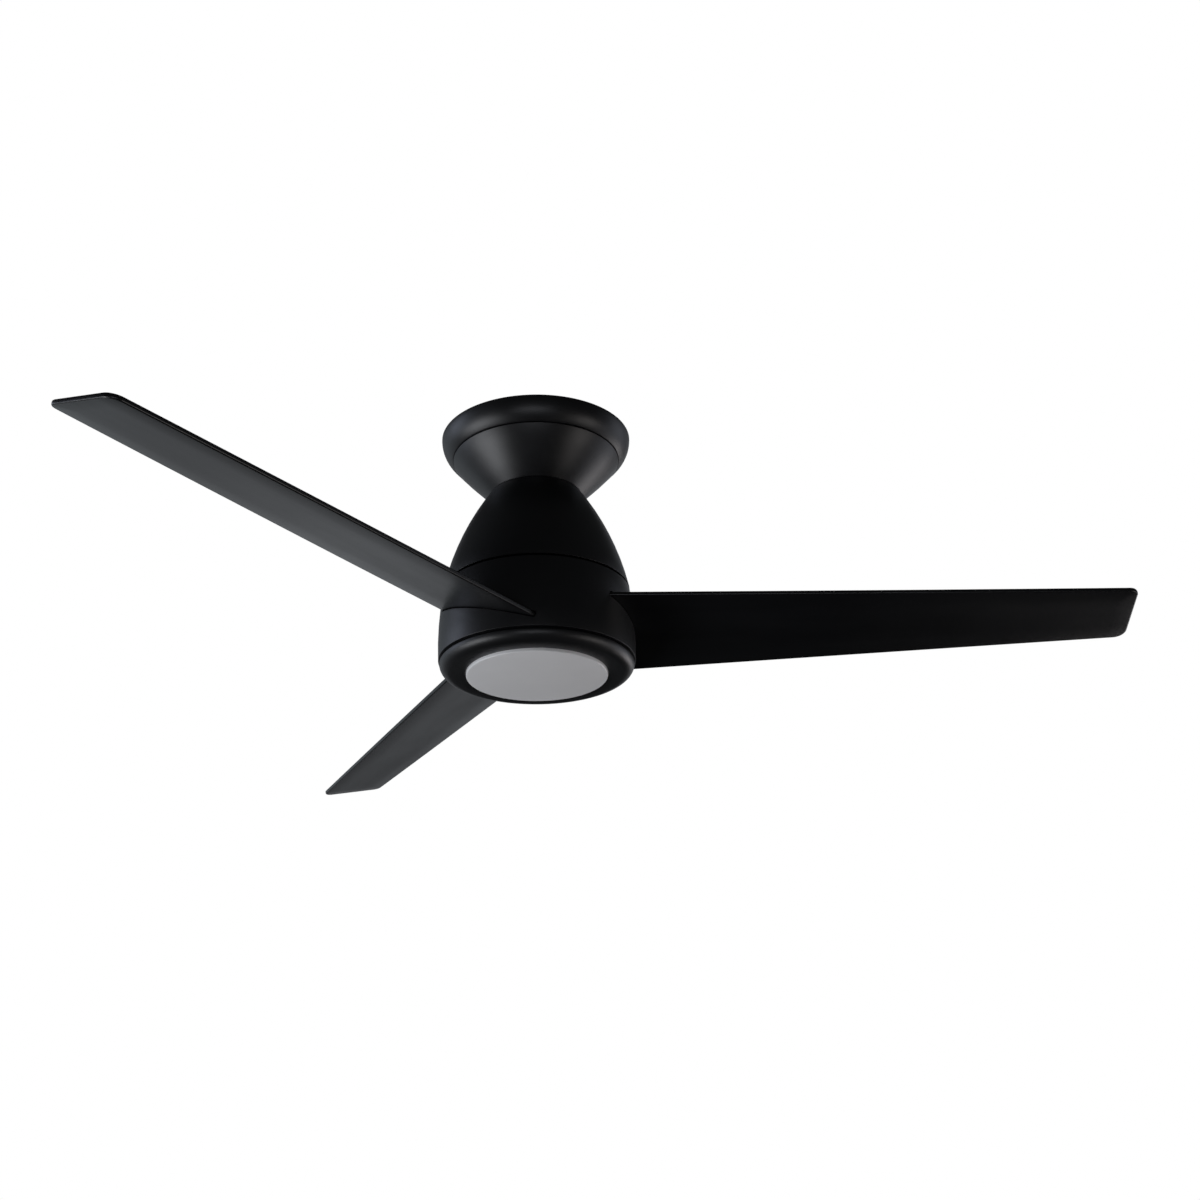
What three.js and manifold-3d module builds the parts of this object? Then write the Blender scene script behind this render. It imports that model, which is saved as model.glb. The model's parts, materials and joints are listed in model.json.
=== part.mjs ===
// Flush-mounted ceiling fan with three blades and a round light.
//
// Units are millimetres and +Z is up. The origin is the centre of the ceiling plane, so the whole
// fan hangs below z = 0. The first blade points along +X. The fan turns about Z: seen from below the
// blades go anticlockwise, with the higher long edge of each blade leading.

import * as THREE from 'three';
import { mergeVertices } from 'three/addons/utils/BufferGeometryUtils.js';
import Module from 'manifold-3d';

const wasm = await Module();
wasm.setup();

// ---------------------------------------------------------------- driving dimensions

// Heights of the visible stack, from the ceiling down
const trimHeight = 26.6;
const trimGroove = 1.5;
const coneHeight = 45.3;
const domeHeight = 121.6;
const seamGap = 2.8;
const bandHeight = 84.6;
const bezelGap = 3.0;
const bezelHeight = 11.2;
const lensProud = 3.4;

// Outside radii of the visible stack
const trimRadius = 111.5;
const trimLipRadius = 98.3;
const coneTopRadius = 97.9;
const canopyShoulder = 2.9;
const neckRadius = 54.0;
const bandBellyRadius = 112.2;
const bandBellyRise = 19.4;

// How far each neighbour of the band stands in from it, and the two widths of the light's bezel
const domeSetback = 0.2;
const bezelSetback = 1.3;
const bezelRoundWidth = 13.0;
const bezelFaceWidth = 16.6;

// Radii of the curves that those outlines follow
const trimCurve = 32.0;
const coneCurve = 500.0;
const domeCurve = 330.0;
const bandCurve = 430.0;

// Walls
const trimWall = 2.0;
const trimEdgeThinning = 0.6;
const canopyWall = 1.8;
const domeWall = 1.8;
const bandWall = 2.2;
const bezelWall = 2.0;
const panWall = 1.5;
const lensWall = 2.2;

// Blades
const bladeCount = 3;
const sweepRadius = 660.0;
const bladeRootRadius = 50.0;
const bladePlaneRise = 32.2;
const bladeRootPitch = 17.2;
const bladeTipPitch = 13.6;
const bladeThickness = 5.0;
const rootLeading = 69.0;
const rootTrailing = 66.0;
const tipLeading = 40.5;
const tipTrailing = 46.2;
const tongueHalfWidth = 30.0;
const tongueEnd = 62.0;
const fullWidthStart = 84.0;
const twistStart = 100.0;
const tipLeadingRound = 9.0;
const tipTrailingRound = 13.0;
const bladeEdgeRound = 4.0;
const slotClearance = 1.2;

// Shaft, hanger and ceiling bracket
const shaftRadius = 10.0;
const shaftBore = 6.5;
const shaftInHanger = 44.8;
const hangerWall = 3.7;
const hangerFlangeThickness = 3.0;
const domeFlangeInset = 4.0;
const domeFlangeWidth = 14.4;
const hangerTail = 24.0;
const wireWindowDrop = 28.2;
const wireWindowRadius = 5.0;
const pinRadius = 2.5;
const pinRise = 10.8;
const pinOverhang = 3.0;
const leadExitRadius = 5.5;
const leadExitDrop = 16.7;
const bracketThickness = 2.5;
const bracketRadius = 62.0;
const bracketArmWidth = 36.0;
const bracketEarDrop = 18.0;
const earHoleShare = 0.65;
const bracketWireHole = 17.0;
const boxSlotCentre = 44.5;
const boxSlotLength = 15.0;
const boxSlotWidth = 6.0;

// Motor
const bearingOuterRadius = 21.0;
const bearingWidth = 12.0;
const raceShare = 0.308;
const ballShare = 0.28;
const ballCount = 7;
const cageThickness = 1.4;
const cageHeight = 3.2;
const upperBearingRise = 1.0;
const bossWall = 3.7;
const bossLip = 1.7;
const coverBossRise = 1.0;
const motorDepth = 45.3;
const statorHeight = 24.0;
const statorHubGap = 3.0;
const statorHubRadius = 25.7;
const yokeRadius = 36.0;
const toothTipRadius = 62.0;
const toothWidth = 8.0;
const toothHeadDepth = 4.0;
const toothHeadShare = 0.41;
const toothHeadFlare = 1.5;
const toothCount = 12;
const coilWidth = 14.0;
const coilOverhang = 5.0;
const coilEndGap = 2.0;
const coilRingWidth = 4.0;
const coilRingRise = 2.0;
const airGap = 1.0;
const magnetThickness = 4.9;
const magnetHeight = 28.0;
const magnetGrooveWidth = 1.0;
const magnetGrooveDepth = 1.5;
const rotorWall = 3.3;
const rotorPlate = 3.0;
const rotorFlangeWidth = 6.5;

// Blade hub
const hubPlate = 5.0;
const hubCollarHeight = 3.7;
const hubCollarMargin = 2.0;
const hubToBand = 8.2;
const bandFlangeLap = 9.0;
const padLength = 32.0;
const padWidth = 48.0;
const padThickness = 5.0;
const postLength = 22.0;
const postWidth = 24.0;
const clampThickness = 3.0;
const clampInset = 2.0;
const bladeScrewSpread = 14.0;

// Light kit
const panPlateauRise = 14.0;
const panPlateauRadius = 43.5;
const panClearance = 3.9;
const panToBand = 4.3;
const skirtClearance = 1.8;
const bezelPostRadius = 3.4;
const lensHoleClearance = 0.8;
const lensEdge = 1.4;
const lensLip = 3.5;
const lensLipThickness = 2.1;
const boardInset = 8.0;
const boardThickness = 1.6;
const chipCircles = [[24, 4], [54, 9]];
const chipSize = 3.6;
const chipRise = 0.9;
const chipSunk = 0.4;
const nutWall = 5.0;
const nutHeight = 6.2;
const threadSpare = 2.0;

// Wiring
const leadRadius = 1.6;
const supplyRadius = 2.2;
const wellRadius = 3.0;

// Fasteners: shank radius, head radius, head height
const smallScrew = { shank: 1.6, head: 3.2, rise: 1.8 };
const hangerBolt = { shank: 2.5, head: 4.5, rise: 3.6 };
const screwOffset = 2.0;
const canopyScrewSpare = 3.0;
const bezelScrewLength = 12.0;

// Fits
const fitGap = 0.3;
const trimSlip = 0.5;
const leadGap = 0.4;
const runningGap = 0.3;
const wallGap = 0.8;

// How far a cutting shape, or a shape joined to another, runs past the face it meets
const past = 1.0;

// Facets round a full turn
const broad = 32;
const inside = 20;
const narrow = 16;
const drilled = 8;

// ---------------------------------------------------------------- levels, down from the ceiling

const coneTop = -(trimHeight + trimGroove);
const neckLevel = coneTop - coneHeight;
const domeRim = neckLevel - domeHeight;
const bandTop = domeRim - seamGap;
const bandBottom = bandTop - bandHeight;
const bezelTop = bandBottom - bezelGap;
const bezelBottom = bezelTop - bezelHeight;
const lensFace = bezelBottom - lensProud;
const bladePlane = bandBottom + bladePlaneRise;
const bandBelly = bandBottom + bandBellyRise;

// Outside radius of the band at a level: a slack barrel curve, widest a little above its lower edge
function bandRadius(level) {
  return bandBellyRadius - bandCurve + Math.sqrt(bandCurve ** 2 - (level - bandBelly) ** 2);
}

const domeRimRadius = bandRadius(bandTop) - domeSetback;
const bezelRadius = bandRadius(bandBottom) - bezelSetback;
const bezelFaceRadius = bezelRadius - bezelRoundWidth;
const lensHole = bezelFaceRadius - bezelFaceWidth;
const lensRadius = lensHole - lensHoleClearance;

// Canopy, hanger and shaft
const canopyWallRadius = coneTopRadius - canopyShoulder;
const hangerBore = shaftRadius + fitGap;
const hangerRadius = hangerBore + hangerWall;
const hangerTopFace = -(bracketThickness + fitGap);
const domeFlangeTop = neckLevel - fitGap;
const hangerLowerFace = domeFlangeTop - domeWall - fitGap;
const hangerEnd = hangerLowerFace - hangerFlangeThickness - hangerTail;
const shaftTop = hangerEnd + shaftInHanger;
const pinLevel = hangerEnd + pinRise;
const windowLevel = hangerTopFace - hangerFlangeThickness - wireWindowDrop;
const domeFlangeRadius = neckRadius - domeFlangeInset;
const domeHole = domeFlangeRadius - domeFlangeWidth;
const hangerFlangeRadius = domeHole - 2 * wallGap;
const hangerBoltCircle = (hangerRadius + hangerFlangeRadius) / 2 + screwOffset;
const domeScrewCircle = (domeHole + domeFlangeRadius) / 2 + screwOffset;

// Band, hub and motor, stacked upwards from the band's flange
const bandFlangeBottom = bandTop - bandWall;
const hubTop = bandFlangeBottom - fitGap;
const hubBottom = hubTop - hubPlate;
const hubCollarTop = hubTop + hubCollarHeight;
const coverBottom = hubCollarTop + fitGap;
const coverTop = coverBottom + rotorPlate;
const rotorUnder = coverTop + motorDepth;
const rotorTop = rotorUnder + rotorPlate;
const lowerBearing = hubBottom + 2 * fitGap + bossLip + bearingWidth / 2;
const upperBearing = rotorUnder + upperBearingRise + bearingWidth / 2;
const statorMiddle = (coverTop + rotorUnder) / 2;
const statorTop = statorMiddle + statorHeight / 2;
const statorBottom = statorMiddle - statorHeight / 2;

const raceBore = shaftRadius + fitGap;
const pitchRadius = (raceBore + bearingOuterRadius) / 2;
const raceThickness = raceShare * (bearingOuterRadius - raceBore);
const ballRadius = ballShare * (bearingOuterRadius - raceBore);
const bossBore = bearingOuterRadius + fitGap;
const bossRadius = bossBore + bossWall;
const magnetInner = toothTipRadius + airGap;
const magnetOuter = magnetInner + magnetThickness;
const rotorInner = magnetOuter + fitGap;
const rotorRadius = rotorInner + rotorWall;
const rotorFlangeRadius = rotorRadius + rotorFlangeWidth;
const rotorScrewCircle = rotorRadius + rotorFlangeWidth / 2;
const hubBore = bossRadius + 2 * wallGap;
const hubCollarRadius = rotorFlangeRadius + hubCollarMargin;
const hubRadius = bandRadius(bandTop) - bandWall - hubToBand;
const bandFlangeBore = hubRadius - bandFlangeLap;
const bandScrewCircle = (bandFlangeBore + hubRadius) / 2;
const bandLipBore = bandRadius(bandBottom) - 2 * bandWall;

// Blades and what holds them
const rootTilt = -THREE.MathUtils.degToRad(bladeRootPitch);
const bladeDrop = -rootTrailing * Math.sin(rootTilt) + (bladeThickness / 2) * Math.cos(rootTilt);
const bladeLow = bladePlane - bladeDrop;
const bladeScrewRadius = bladeRootRadius + padLength / 2;
const padLow = bladeThickness / 2 + fitGap;
const clampHigh = -bladeThickness / 2 - fitGap;
const clampLow = clampHigh - clampThickness;

// Light kit, hung below the sweep of the blades
const panFlat = bladeLow - panClearance;
const panUnder = panFlat - panWall;
const panPlateau = panFlat + panPlateauRise;
const panRadius = bandLipBore - panToBand;
const bezelCollarRadius = panRadius - panWall - wallGap;
const bezelScrewCircle = bezelCollarRadius - 2 * bezelPostRadius;
const bezelFlange = bezelBottom + bezelWall;
const boardTop = panUnder - fitGap;
const boardRadius = lensRadius - boardInset;
const nutTop = panPlateau - panWall - fitGap;
const shaftBottom = nutTop - nutHeight - threadSpare;
const driverBase = panPlateau + fitGap;
const leadExit = hubBottom - leadExitDrop;

// ---------------------------------------------------------------- finishes

function finish(color, roughness, metalness) {
  return new THREE.MeshStandardMaterial({ color, roughness, metalness });
}

const blackCoat = finish(0x1d1d20, 0.42, 0.35);
const bladeBlack = finish(0x1b1c1f, 0.5, 0.0);
const opal = finish(0xd9dad6, 0.55, 0.0);
const zincPlate = finish(0x9a9d9f, 0.4, 0.9);
const steel = finish(0xa8abad, 0.3, 1.0);
const blackSteel = finish(0x26272a, 0.38, 0.8);
const castAluminium = finish(0x9b9ea1, 0.5, 0.85);
const lamination = finish(0x5d6063, 0.45, 0.8);
const copper = finish(0xb06a3a, 0.4, 0.9);
const ferrite = finish(0x3a3a3d, 0.7, 0.1);
const whitePlastic = finish(0xe6e6e2, 0.6, 0.0);
const greyPlastic = finish(0x5a5d61, 0.6, 0.0);
const boardWhite = finish(0xf2f2ee, 0.5, 0.0);
const leadGrey = finish(0x8b8d8f, 0.6, 0.0);

// ---------------------------------------------------------------- shape helpers

const at = (r, z) => new THREE.Vector2(r, z);
const turn = (count, index) => (2 * Math.PI * index) / count;

// Points of a shallow arc between two profile points, bulging away from the axis.
// An inset moves the whole arc towards its centre, as the inner face of a wall lies.
function bow(from, to, radius, pieces, inset = 0) {
  const chord = to.clone().sub(from);
  const outward = new THREE.Vector2(Math.abs(chord.y), chord.x * Math.sign(-chord.y)).normalize();
  const depth = Math.sqrt(radius ** 2 - (chord.length() / 2) ** 2);
  const centre = from.clone().add(to).multiplyScalar(0.5).addScaledVector(outward, -depth);
  const start = from.clone().sub(centre).angle();
  const end = to.clone().sub(centre).angle();
  const sweep = Math.atan2(Math.sin(end - start), Math.cos(end - start));
  const points = [];
  for (let i = 0; i <= pieces; i += 1) {
    const angle = start + (sweep * i) / pieces;
    points.push(at(Math.cos(angle), Math.sin(angle)).multiplyScalar(radius - inset).add(centre));
  }
  return points;
}

// A solid of revolution about Z from a closed outline of (radius, height) points.
function turned(outline, facets = narrow) {
  const points = THREE.ShapeUtils.isClockWise(outline) ? [...outline].reverse() : [...outline];
  const onAxis = points.filter((point) => point.x === 0).length;
  if (onAxis === 0) {
    points.push(points[0]);
  } else {
    while (points[0].x !== 0 || points[points.length - 1].x !== 0) points.push(points.shift());
  }
  return new THREE.LatheGeometry(points, facets).rotateX(Math.PI / 2);
}

// A plain ring, or a disc when the bore is 0, between two levels.
function ring(bore, radius, low, high, facets = narrow) {
  return turned([at(bore, low), at(radius, low), at(radius, high), at(bore, high)], facets);
}

// A block between two corners.
function block(x0, y0, z0, x1, y1, z1) {
  const box = new THREE.BoxGeometry(x1 - x0, y1 - y0, z1 - z0);
  return box.translate((x0 + x1) / 2, (y0 + y1) / 2, (z0 + z1) / 2);
}

// An upright rod for cutting round holes.
function rod(radius, low, high, x = 0, y = 0, facets = drilled) {
  return ring(0, radius, low, high, facets).translate(x, y, 0);
}

function solid(geometry) {
  const bare = geometry.clone();
  bare.deleteAttribute('normal');
  bare.deleteAttribute('uv');
  const merged = mergeVertices(bare, 1e-4);
  const index = merged.index.array;
  const kept = [];
  for (let i = 0; i < index.length; i += 3) {
    const [a, b, c] = [index[i], index[i + 1], index[i + 2]];
    if (a !== b && b !== c && c !== a) kept.push(a, b, c);
  }
  const vertProperties = new Float32Array(merged.attributes.position.array);
  const triVerts = new Uint32Array(kept);
  return new wasm.Manifold(new wasm.Mesh({ numProp: 3, vertProperties, triVerts }));
}

function shaped(manifold) {
  const mesh = manifold.getMesh();
  const geometry = new THREE.BufferGeometry();
  geometry.setAttribute('position', new THREE.BufferAttribute(new Float32Array(mesh.vertProperties), 3));
  geometry.setIndex(new THREE.BufferAttribute(new Uint32Array(mesh.triVerts), 1));
  geometry.computeVertexNormals();
  return geometry;
}

function joined(base, ...more) {
  return shaped(more.reduce((sum, piece) => sum.add(solid(piece)), solid(base)));
}

function cut(base, ...tools) {
  return shaped(tools.reduce((rest, tool) => rest.subtract(solid(tool)), solid(base)));
}

// A screw standing on z = 0 with its shank pointing up and its head below.
function screw(size, length) {
  const outline = [
    at(0, -size.rise),
    at(size.head, -size.rise),
    at(size.head, 0),
    at(size.shank, 0),
    at(size.shank, length),
    at(0, length),
  ];
  return turned(outline, drilled);
}

// A round lead along a smooth curve through the given points.
function lead(points, radius, steps) {
  const section = new THREE.Shape();
  section.absarc(0, 0, radius, 0, 2 * Math.PI);
  const extrudePath = new THREE.CatmullRomCurve3(points.map((point) => new THREE.Vector3(...point)));
  const options = { steps, extrudePath, curveSegments: 4, bevelEnabled: false };
  return new THREE.ExtrudeGeometry(section, options);
}

const fan = new THREE.Group();

function place(parent, name, geometry, material) {
  const mesh = new THREE.Mesh(geometry, material);
  mesh.name = name;
  parent.add(mesh);
  return mesh;
}

// ---------------------------------------------------------------- ceiling bracket and hanger

const hangerBoltAngle = (index) => turn(3, index) + Math.PI / 2;
const earReach = Math.hypot(canopyWallRadius - canopyWall - 2 * wallGap, bracketArmWidth / 2);
const earOutside = 2 * (canopyWallRadius - canopyWall - 2 * wallGap) - earReach;
const canopyScrewDrop = bracketEarDrop * earHoleShare;

function ceilingBracket() {
  const half = bracketArmWidth / 2;
  const plate = ring(bracketWireHole, bracketRadius, -bracketThickness, 0, inside);
  const arms = [1, -1].map((side) => {
    const outer = side * earOutside;
    const inner = side * (bracketWireHole + bracketThickness);
    return block(Math.min(inner, outer), -half, -bracketThickness, Math.max(inner, outer), half, 0);
  });
  const ears = [1, -1].map((side) => {
    const outer = side * earOutside;
    const inner = side * (earOutside - bracketThickness);
    return block(Math.min(inner, outer), -half, -bracketEarDrop, Math.max(inner, outer), half, 0);
  });
  const boxSlots = [1, -1].map((side) => {
    const [long, wide] = [boxSlotLength / 2, boxSlotWidth / 2];
    const slot = block(-long, -wide, -bracketThickness - past, long, wide, past);
    return slot.translate(side * boxSlotCentre, 0, 0);
  });
  const boltHoles = [0, 1, 2].map((index) => {
    const angle = hangerBoltAngle(index);
    const hole = rod(hangerBolt.shank + fitGap, -bracketThickness - past, past);
    return hole.translate(hangerBoltCircle * Math.cos(angle), hangerBoltCircle * Math.sin(angle), 0);
  });
  const earHoles = rod(smallScrew.shank + fitGap, -earOutside - past, earOutside + past);
  earHoles.rotateY(Math.PI / 2).translate(0, 0, -canopyScrewDrop);
  return cut(joined(plate, ...arms, ...ears), ...boxSlots, ...boltHoles, earHoles);
}

function hangerTube() {
  const upperFlangeBottom = hangerTopFace - hangerFlangeThickness;
  const lowerFlangeBottom = hangerLowerFace - hangerFlangeThickness;
  const outline = [
    at(hangerBore, hangerTopFace),
    at(hangerFlangeRadius, hangerTopFace),
    at(hangerFlangeRadius, upperFlangeBottom),
    at(hangerRadius, upperFlangeBottom),
    at(hangerRadius, hangerLowerFace),
    at(domeFlangeRadius, hangerLowerFace),
    at(domeFlangeRadius, lowerFlangeBottom),
    at(hangerRadius, lowerFlangeBottom),
    at(hangerRadius, hangerEnd),
    at(hangerBore, hangerEnd),
  ];
  const holes = [];
  for (let i = 0; i < 3; i += 1) {
    const angle = hangerBoltAngle(i);
    const bolt = rod(hangerBolt.shank + fitGap, upperFlangeBottom - past, hangerTopFace + past);
    holes.push(bolt.translate(hangerBoltCircle * Math.cos(angle), hangerBoltCircle * Math.sin(angle), 0));
    const domeAngle = turn(3, i);
    const tapped = rod(smallScrew.shank + fitGap, lowerFlangeBottom - past, hangerLowerFace + past);
    const [x, y] = [domeScrewCircle * Math.cos(domeAngle), domeScrewCircle * Math.sin(domeAngle)];
    holes.push(tapped.translate(x, y, 0));
  }
  const window = rod(wireWindowRadius, 0, hangerRadius + past);
  window.rotateX(-Math.PI / 2).translate(0, 0, windowLevel);
  const pinHole = rod(pinRadius + fitGap, -hangerRadius - past, hangerRadius + past);
  pinHole.rotateY(Math.PI / 2).translate(0, 0, pinLevel);
  return cut(turned(outline), ...holes, window, pinHole);
}

function motorShaft() {
  const tube = ring(shaftBore, shaftRadius, shaftBottom, shaftTop);
  const pinHole = rod(pinRadius + fitGap, -shaftRadius - past, shaftRadius + past);
  pinHole.rotateY(Math.PI / 2).translate(0, 0, pinLevel);
  const exit = rod(leadExitRadius, 0, shaftRadius + past);
  exit.rotateY(Math.PI / 2).translate(0, 0, leadExit);
  return cut(tube, pinHole, exit);
}

function hangerPin() {
  const reach = hangerRadius + pinOverhang;
  return rod(pinRadius, -reach, reach).rotateY(Math.PI / 2).translate(0, 0, pinLevel);
}

const ceilingParts = new THREE.Group();
fan.add(ceilingParts);
place(ceilingParts, 'ceiling_bracket', ceilingBracket(), zincPlate);
place(ceilingParts, 'hanger_tube', hangerTube(), zincPlate);
place(ceilingParts, 'motor_shaft', motorShaft(), steel);
place(ceilingParts, 'hanger_pin', hangerPin(), steel);

for (let i = 0; i < 3; i += 1) {
  const boltLength = hangerFlangeThickness + bracketThickness + fitGap;
  const bolt = place(ceilingParts, `bracket_bolt_${i + 1}`, screw(hangerBolt, boltLength), steel);
  const angle = hangerBoltAngle(i);
  const seat = hangerTopFace - hangerFlangeThickness - fitGap;
  bolt.position.set(hangerBoltCircle * Math.cos(angle), hangerBoltCircle * Math.sin(angle), seat);
}

// ---------------------------------------------------------------- canopy, trim ring and dome

function canopy() {
  const inner = canopyWallRadius - canopyWall;
  const innerTop = at(inner, coneTop - 2 * canopyWall);
  const innerNeck = at(neckRadius - canopyWall / 2, neckLevel + canopyWall);
  const outline = [
    at(canopyWallRadius, 0),
    at(canopyWallRadius, coneTop),
    ...bow(at(coneTopRadius, coneTop), at(neckRadius, neckLevel), coneCurve, 3),
    at(domeFlangeRadius + fitGap, neckLevel),
    at(domeFlangeRadius + fitGap, neckLevel + canopyWall),
    ...bow(innerTop, innerNeck, coneCurve, 2).reverse(),
    at(inner, 0),
  ];
  const screwHoles = rod(smallScrew.shank + fitGap, -canopyWallRadius - past, canopyWallRadius + past);
  screwHoles.rotateY(Math.PI / 2).translate(0, 0, -canopyScrewDrop);
  return cut(turned(outline, broad), screwHoles);
}

function trimRing() {
  const lip = -trimHeight;
  const bore = canopyWallRadius + trimSlip;
  const innerTop = at(trimRadius - trimWall, 0);
  const innerLip = at(trimLipRadius - trimEdgeThinning, lip + trimWall);
  const outline = [
    ...bow(at(trimRadius, 0), at(trimLipRadius, lip), trimCurve, 5),
    at(bore, lip),
    at(bore, lip + trimWall),
    ...bow(innerTop, innerLip, trimCurve - trimWall, 3).reverse(),
  ];
  return turned(outline, broad);
}

function domeHousing() {
  const underFlange = domeFlangeTop - domeWall;
  const innerNeck = at(neckRadius - domeWall, underFlange);
  const innerRim = at(domeRimRadius - domeWall, domeRim);
  const outline = [
    at(domeHole, domeFlangeTop),
    ...bow(at(neckRadius, domeFlangeTop), at(domeRimRadius, domeRim), domeCurve, 7),
    ...bow(innerNeck, innerRim, domeCurve, 4).reverse(),
    at(domeHole, underFlange),
  ];
  const holes = [0, 1, 2].map((index) => {
    const hole = rod(smallScrew.shank + fitGap, underFlange - past, domeFlangeTop + past);
    const angle = turn(3, index);
    return hole.translate(domeScrewCircle * Math.cos(angle), domeScrewCircle * Math.sin(angle), 0);
  });
  return cut(turned(outline, broad), ...holes);
}

const covers = new THREE.Group();
fan.add(covers);
place(covers, 'canopy', canopy(), blackCoat);
place(covers, 'trim_ring', trimRing(), blackCoat);
place(covers, 'dome_housing', domeHousing(), blackCoat);

for (let i = 0; i < 2; i += 1) {
  const length = canopyWall + wallGap + bracketThickness + canopyScrewSpare;
  const canopyScrew = place(covers, `canopy_screw_${i + 1}`, screw(smallScrew, length), steel);
  const side = i === 0 ? 1 : -1;
  canopyScrew.position.set(side * (canopyWallRadius + fitGap), 0, -canopyScrewDrop);
  canopyScrew.rotation.y = (-side * Math.PI) / 2;
}

for (let i = 0; i < 3; i += 1) {
  const length = domeWall + hangerFlangeThickness;
  const domeScrew = place(covers, `dome_screw_${i + 1}`, screw(smallScrew, length), steel);
  const angle = turn(3, i);
  const [x, y] = [domeScrewCircle * Math.cos(angle), domeScrewCircle * Math.sin(angle)];
  domeScrew.rotation.x = Math.PI;
  domeScrew.position.set(x, y, domeFlangeTop + fitGap);
}

// ---------------------------------------------------------------- motor: the part that stands still

// The laminated core: a ring with teeth that end in curved heads.
function statorCore() {
  const outline = new THREE.Shape();
  const headHalf = turn(toothCount, 1) * toothHeadShare;
  const neckReach = toothTipRadius - toothHeadDepth;
  for (let i = 0; i < toothCount; i += 1) {
    const angle = turn(toothCount, i);
    const put = (radius, side) => {
      const x = radius * Math.cos(angle) - side * Math.sin(angle);
      const y = radius * Math.sin(angle) + side * Math.cos(angle);
      if (outline.curves.length === 0 && outline.currentPoint.lengthSq() === 0) outline.moveTo(x, y);
      else outline.lineTo(x, y);
    };
    put(Math.sqrt(yokeRadius ** 2 - (toothWidth / 2) ** 2), -toothWidth / 2);
    put(neckReach, -toothWidth / 2);
    put(neckReach * Math.cos(headHalf) + toothHeadFlare, -neckReach * Math.sin(headHalf));
    put(toothTipRadius * Math.cos(headHalf), -toothTipRadius * Math.sin(headHalf));
    put(toothTipRadius, 0);
    put(toothTipRadius * Math.cos(headHalf), toothTipRadius * Math.sin(headHalf));
    put(neckReach * Math.cos(headHalf) + toothHeadFlare, neckReach * Math.sin(headHalf));
    put(neckReach, toothWidth / 2);
    put(Math.sqrt(yokeRadius ** 2 - (toothWidth / 2) ** 2), toothWidth / 2);
  }
  outline.closePath();
  const bore = new THREE.Path();
  bore.absarc(0, 0, statorHubRadius + fitGap, 0, 2 * Math.PI, true);
  outline.holes.push(bore);
  const options = { depth: statorHeight, bevelEnabled: false, curveSegments: narrow };
  return new THREE.ExtrudeGeometry(outline, options).translate(0, 0, statorBottom);
}

// One coil round each tooth, all on a moulded ring that carries their ends.
function statorWindings() {
  const inner = yokeRadius + coilEndGap;
  const outer = toothTipRadius - toothHeadDepth - coilEndGap;
  const high = statorTop + coilOverhang;
  const low = statorBottom - coilOverhang;
  const half = coilWidth / 2;
  const coils = [];
  const teeth = [];
  for (let i = 0; i < toothCount; i += 1) {
    coils.push(block(inner, -half, low, outer, half, high).rotateZ(turn(toothCount, i)));
    const slim = toothWidth / 2 + fitGap;
    const [under, over] = [statorBottom - fitGap, statorTop + fitGap];
    const tooth = block(inner - past, -slim, under, outer + past, slim, over);
    teeth.push(tooth.rotateZ(turn(toothCount, i)));
  }
  const endRing = ring(inner, inner + coilRingWidth, high - past, high + coilRingRise);
  return cut(joined(endRing, ...coils), ...teeth);
}

// One race of a ball bearing, with its groove facing the balls.
function race(bore, radius, grooveAt, middle) {
  const low = middle - bearingWidth / 2;
  const high = middle + bearingWidth / 2;
  const grooveRadius = ballRadius + runningGap;
  const reach = Math.sqrt(grooveRadius ** 2 - (grooveAt - pitchRadius) ** 2);
  const side = Math.sign(grooveAt - pitchRadius);
  const half = Math.atan2(reach, Math.abs(grooveAt - pitchRadius));
  const groove = [-1, -0.5, 0, 0.5, 1].map((share) => {
    const angle = share * half;
    return at(pitchRadius + side * grooveRadius * Math.cos(angle), middle + grooveRadius * Math.sin(angle));
  });
  const outline = side < 0
    ? [at(bore, low), at(radius, low), ...groove, at(radius, high), at(bore, high)]
    : [at(radius, low), at(bore, low), ...groove, at(bore, high), at(radius, high)];
  return turned(outline, inside);
}

// The balls in their cage.
function ballSet(middle) {
  const [half, rise] = [cageThickness / 2, cageHeight / 2];
  const cage = ring(pitchRadius - half, pitchRadius + half, middle - rise, middle + rise, inside);
  const balls = [];
  for (let i = 0; i < ballCount; i += 1) {
    const ball = new THREE.SphereGeometry(ballRadius, 6, 4).rotateX(Math.PI / 2);
    balls.push(ball.translate(pitchRadius, 0, middle).rotateZ(turn(ballCount, i)));
  }
  return joined(cage, ...balls);
}

const bearingMiddles = { upper: upperBearing, lower: lowerBearing };

const stator = new THREE.Group();
fan.add(stator);
const hubLow = lowerBearing + bearingWidth / 2 + statorHubGap;
const hubHigh = upperBearing - bearingWidth / 2 - statorHubGap;
const statorHub = ring(raceBore, statorHubRadius, hubLow, hubHigh);
place(stator, 'stator_hub', statorHub, castAluminium);
place(stator, 'stator_core', statorCore(), lamination);
place(stator, 'stator_windings', statorWindings(), copper);

for (const [level, middle] of Object.entries(bearingMiddles)) {
  const outside = raceBore + raceThickness;
  place(stator, `${level}_bearing_inner_race`, race(raceBore, outside, outside, middle), steel);
}

// ---------------------------------------------------------------- motor: the part that turns

// Three upright rods for clearance holes, midway between the blades.
function circleOfRods(circle, low, high) {
  return [0, 1, 2].map((index) => {
    const angle = turn(3, index + 0.5);
    const hole = rod(smallScrew.shank + fitGap, low, high);
    return hole.translate(circle * Math.cos(angle), circle * Math.sin(angle), 0);
  });
}

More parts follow.
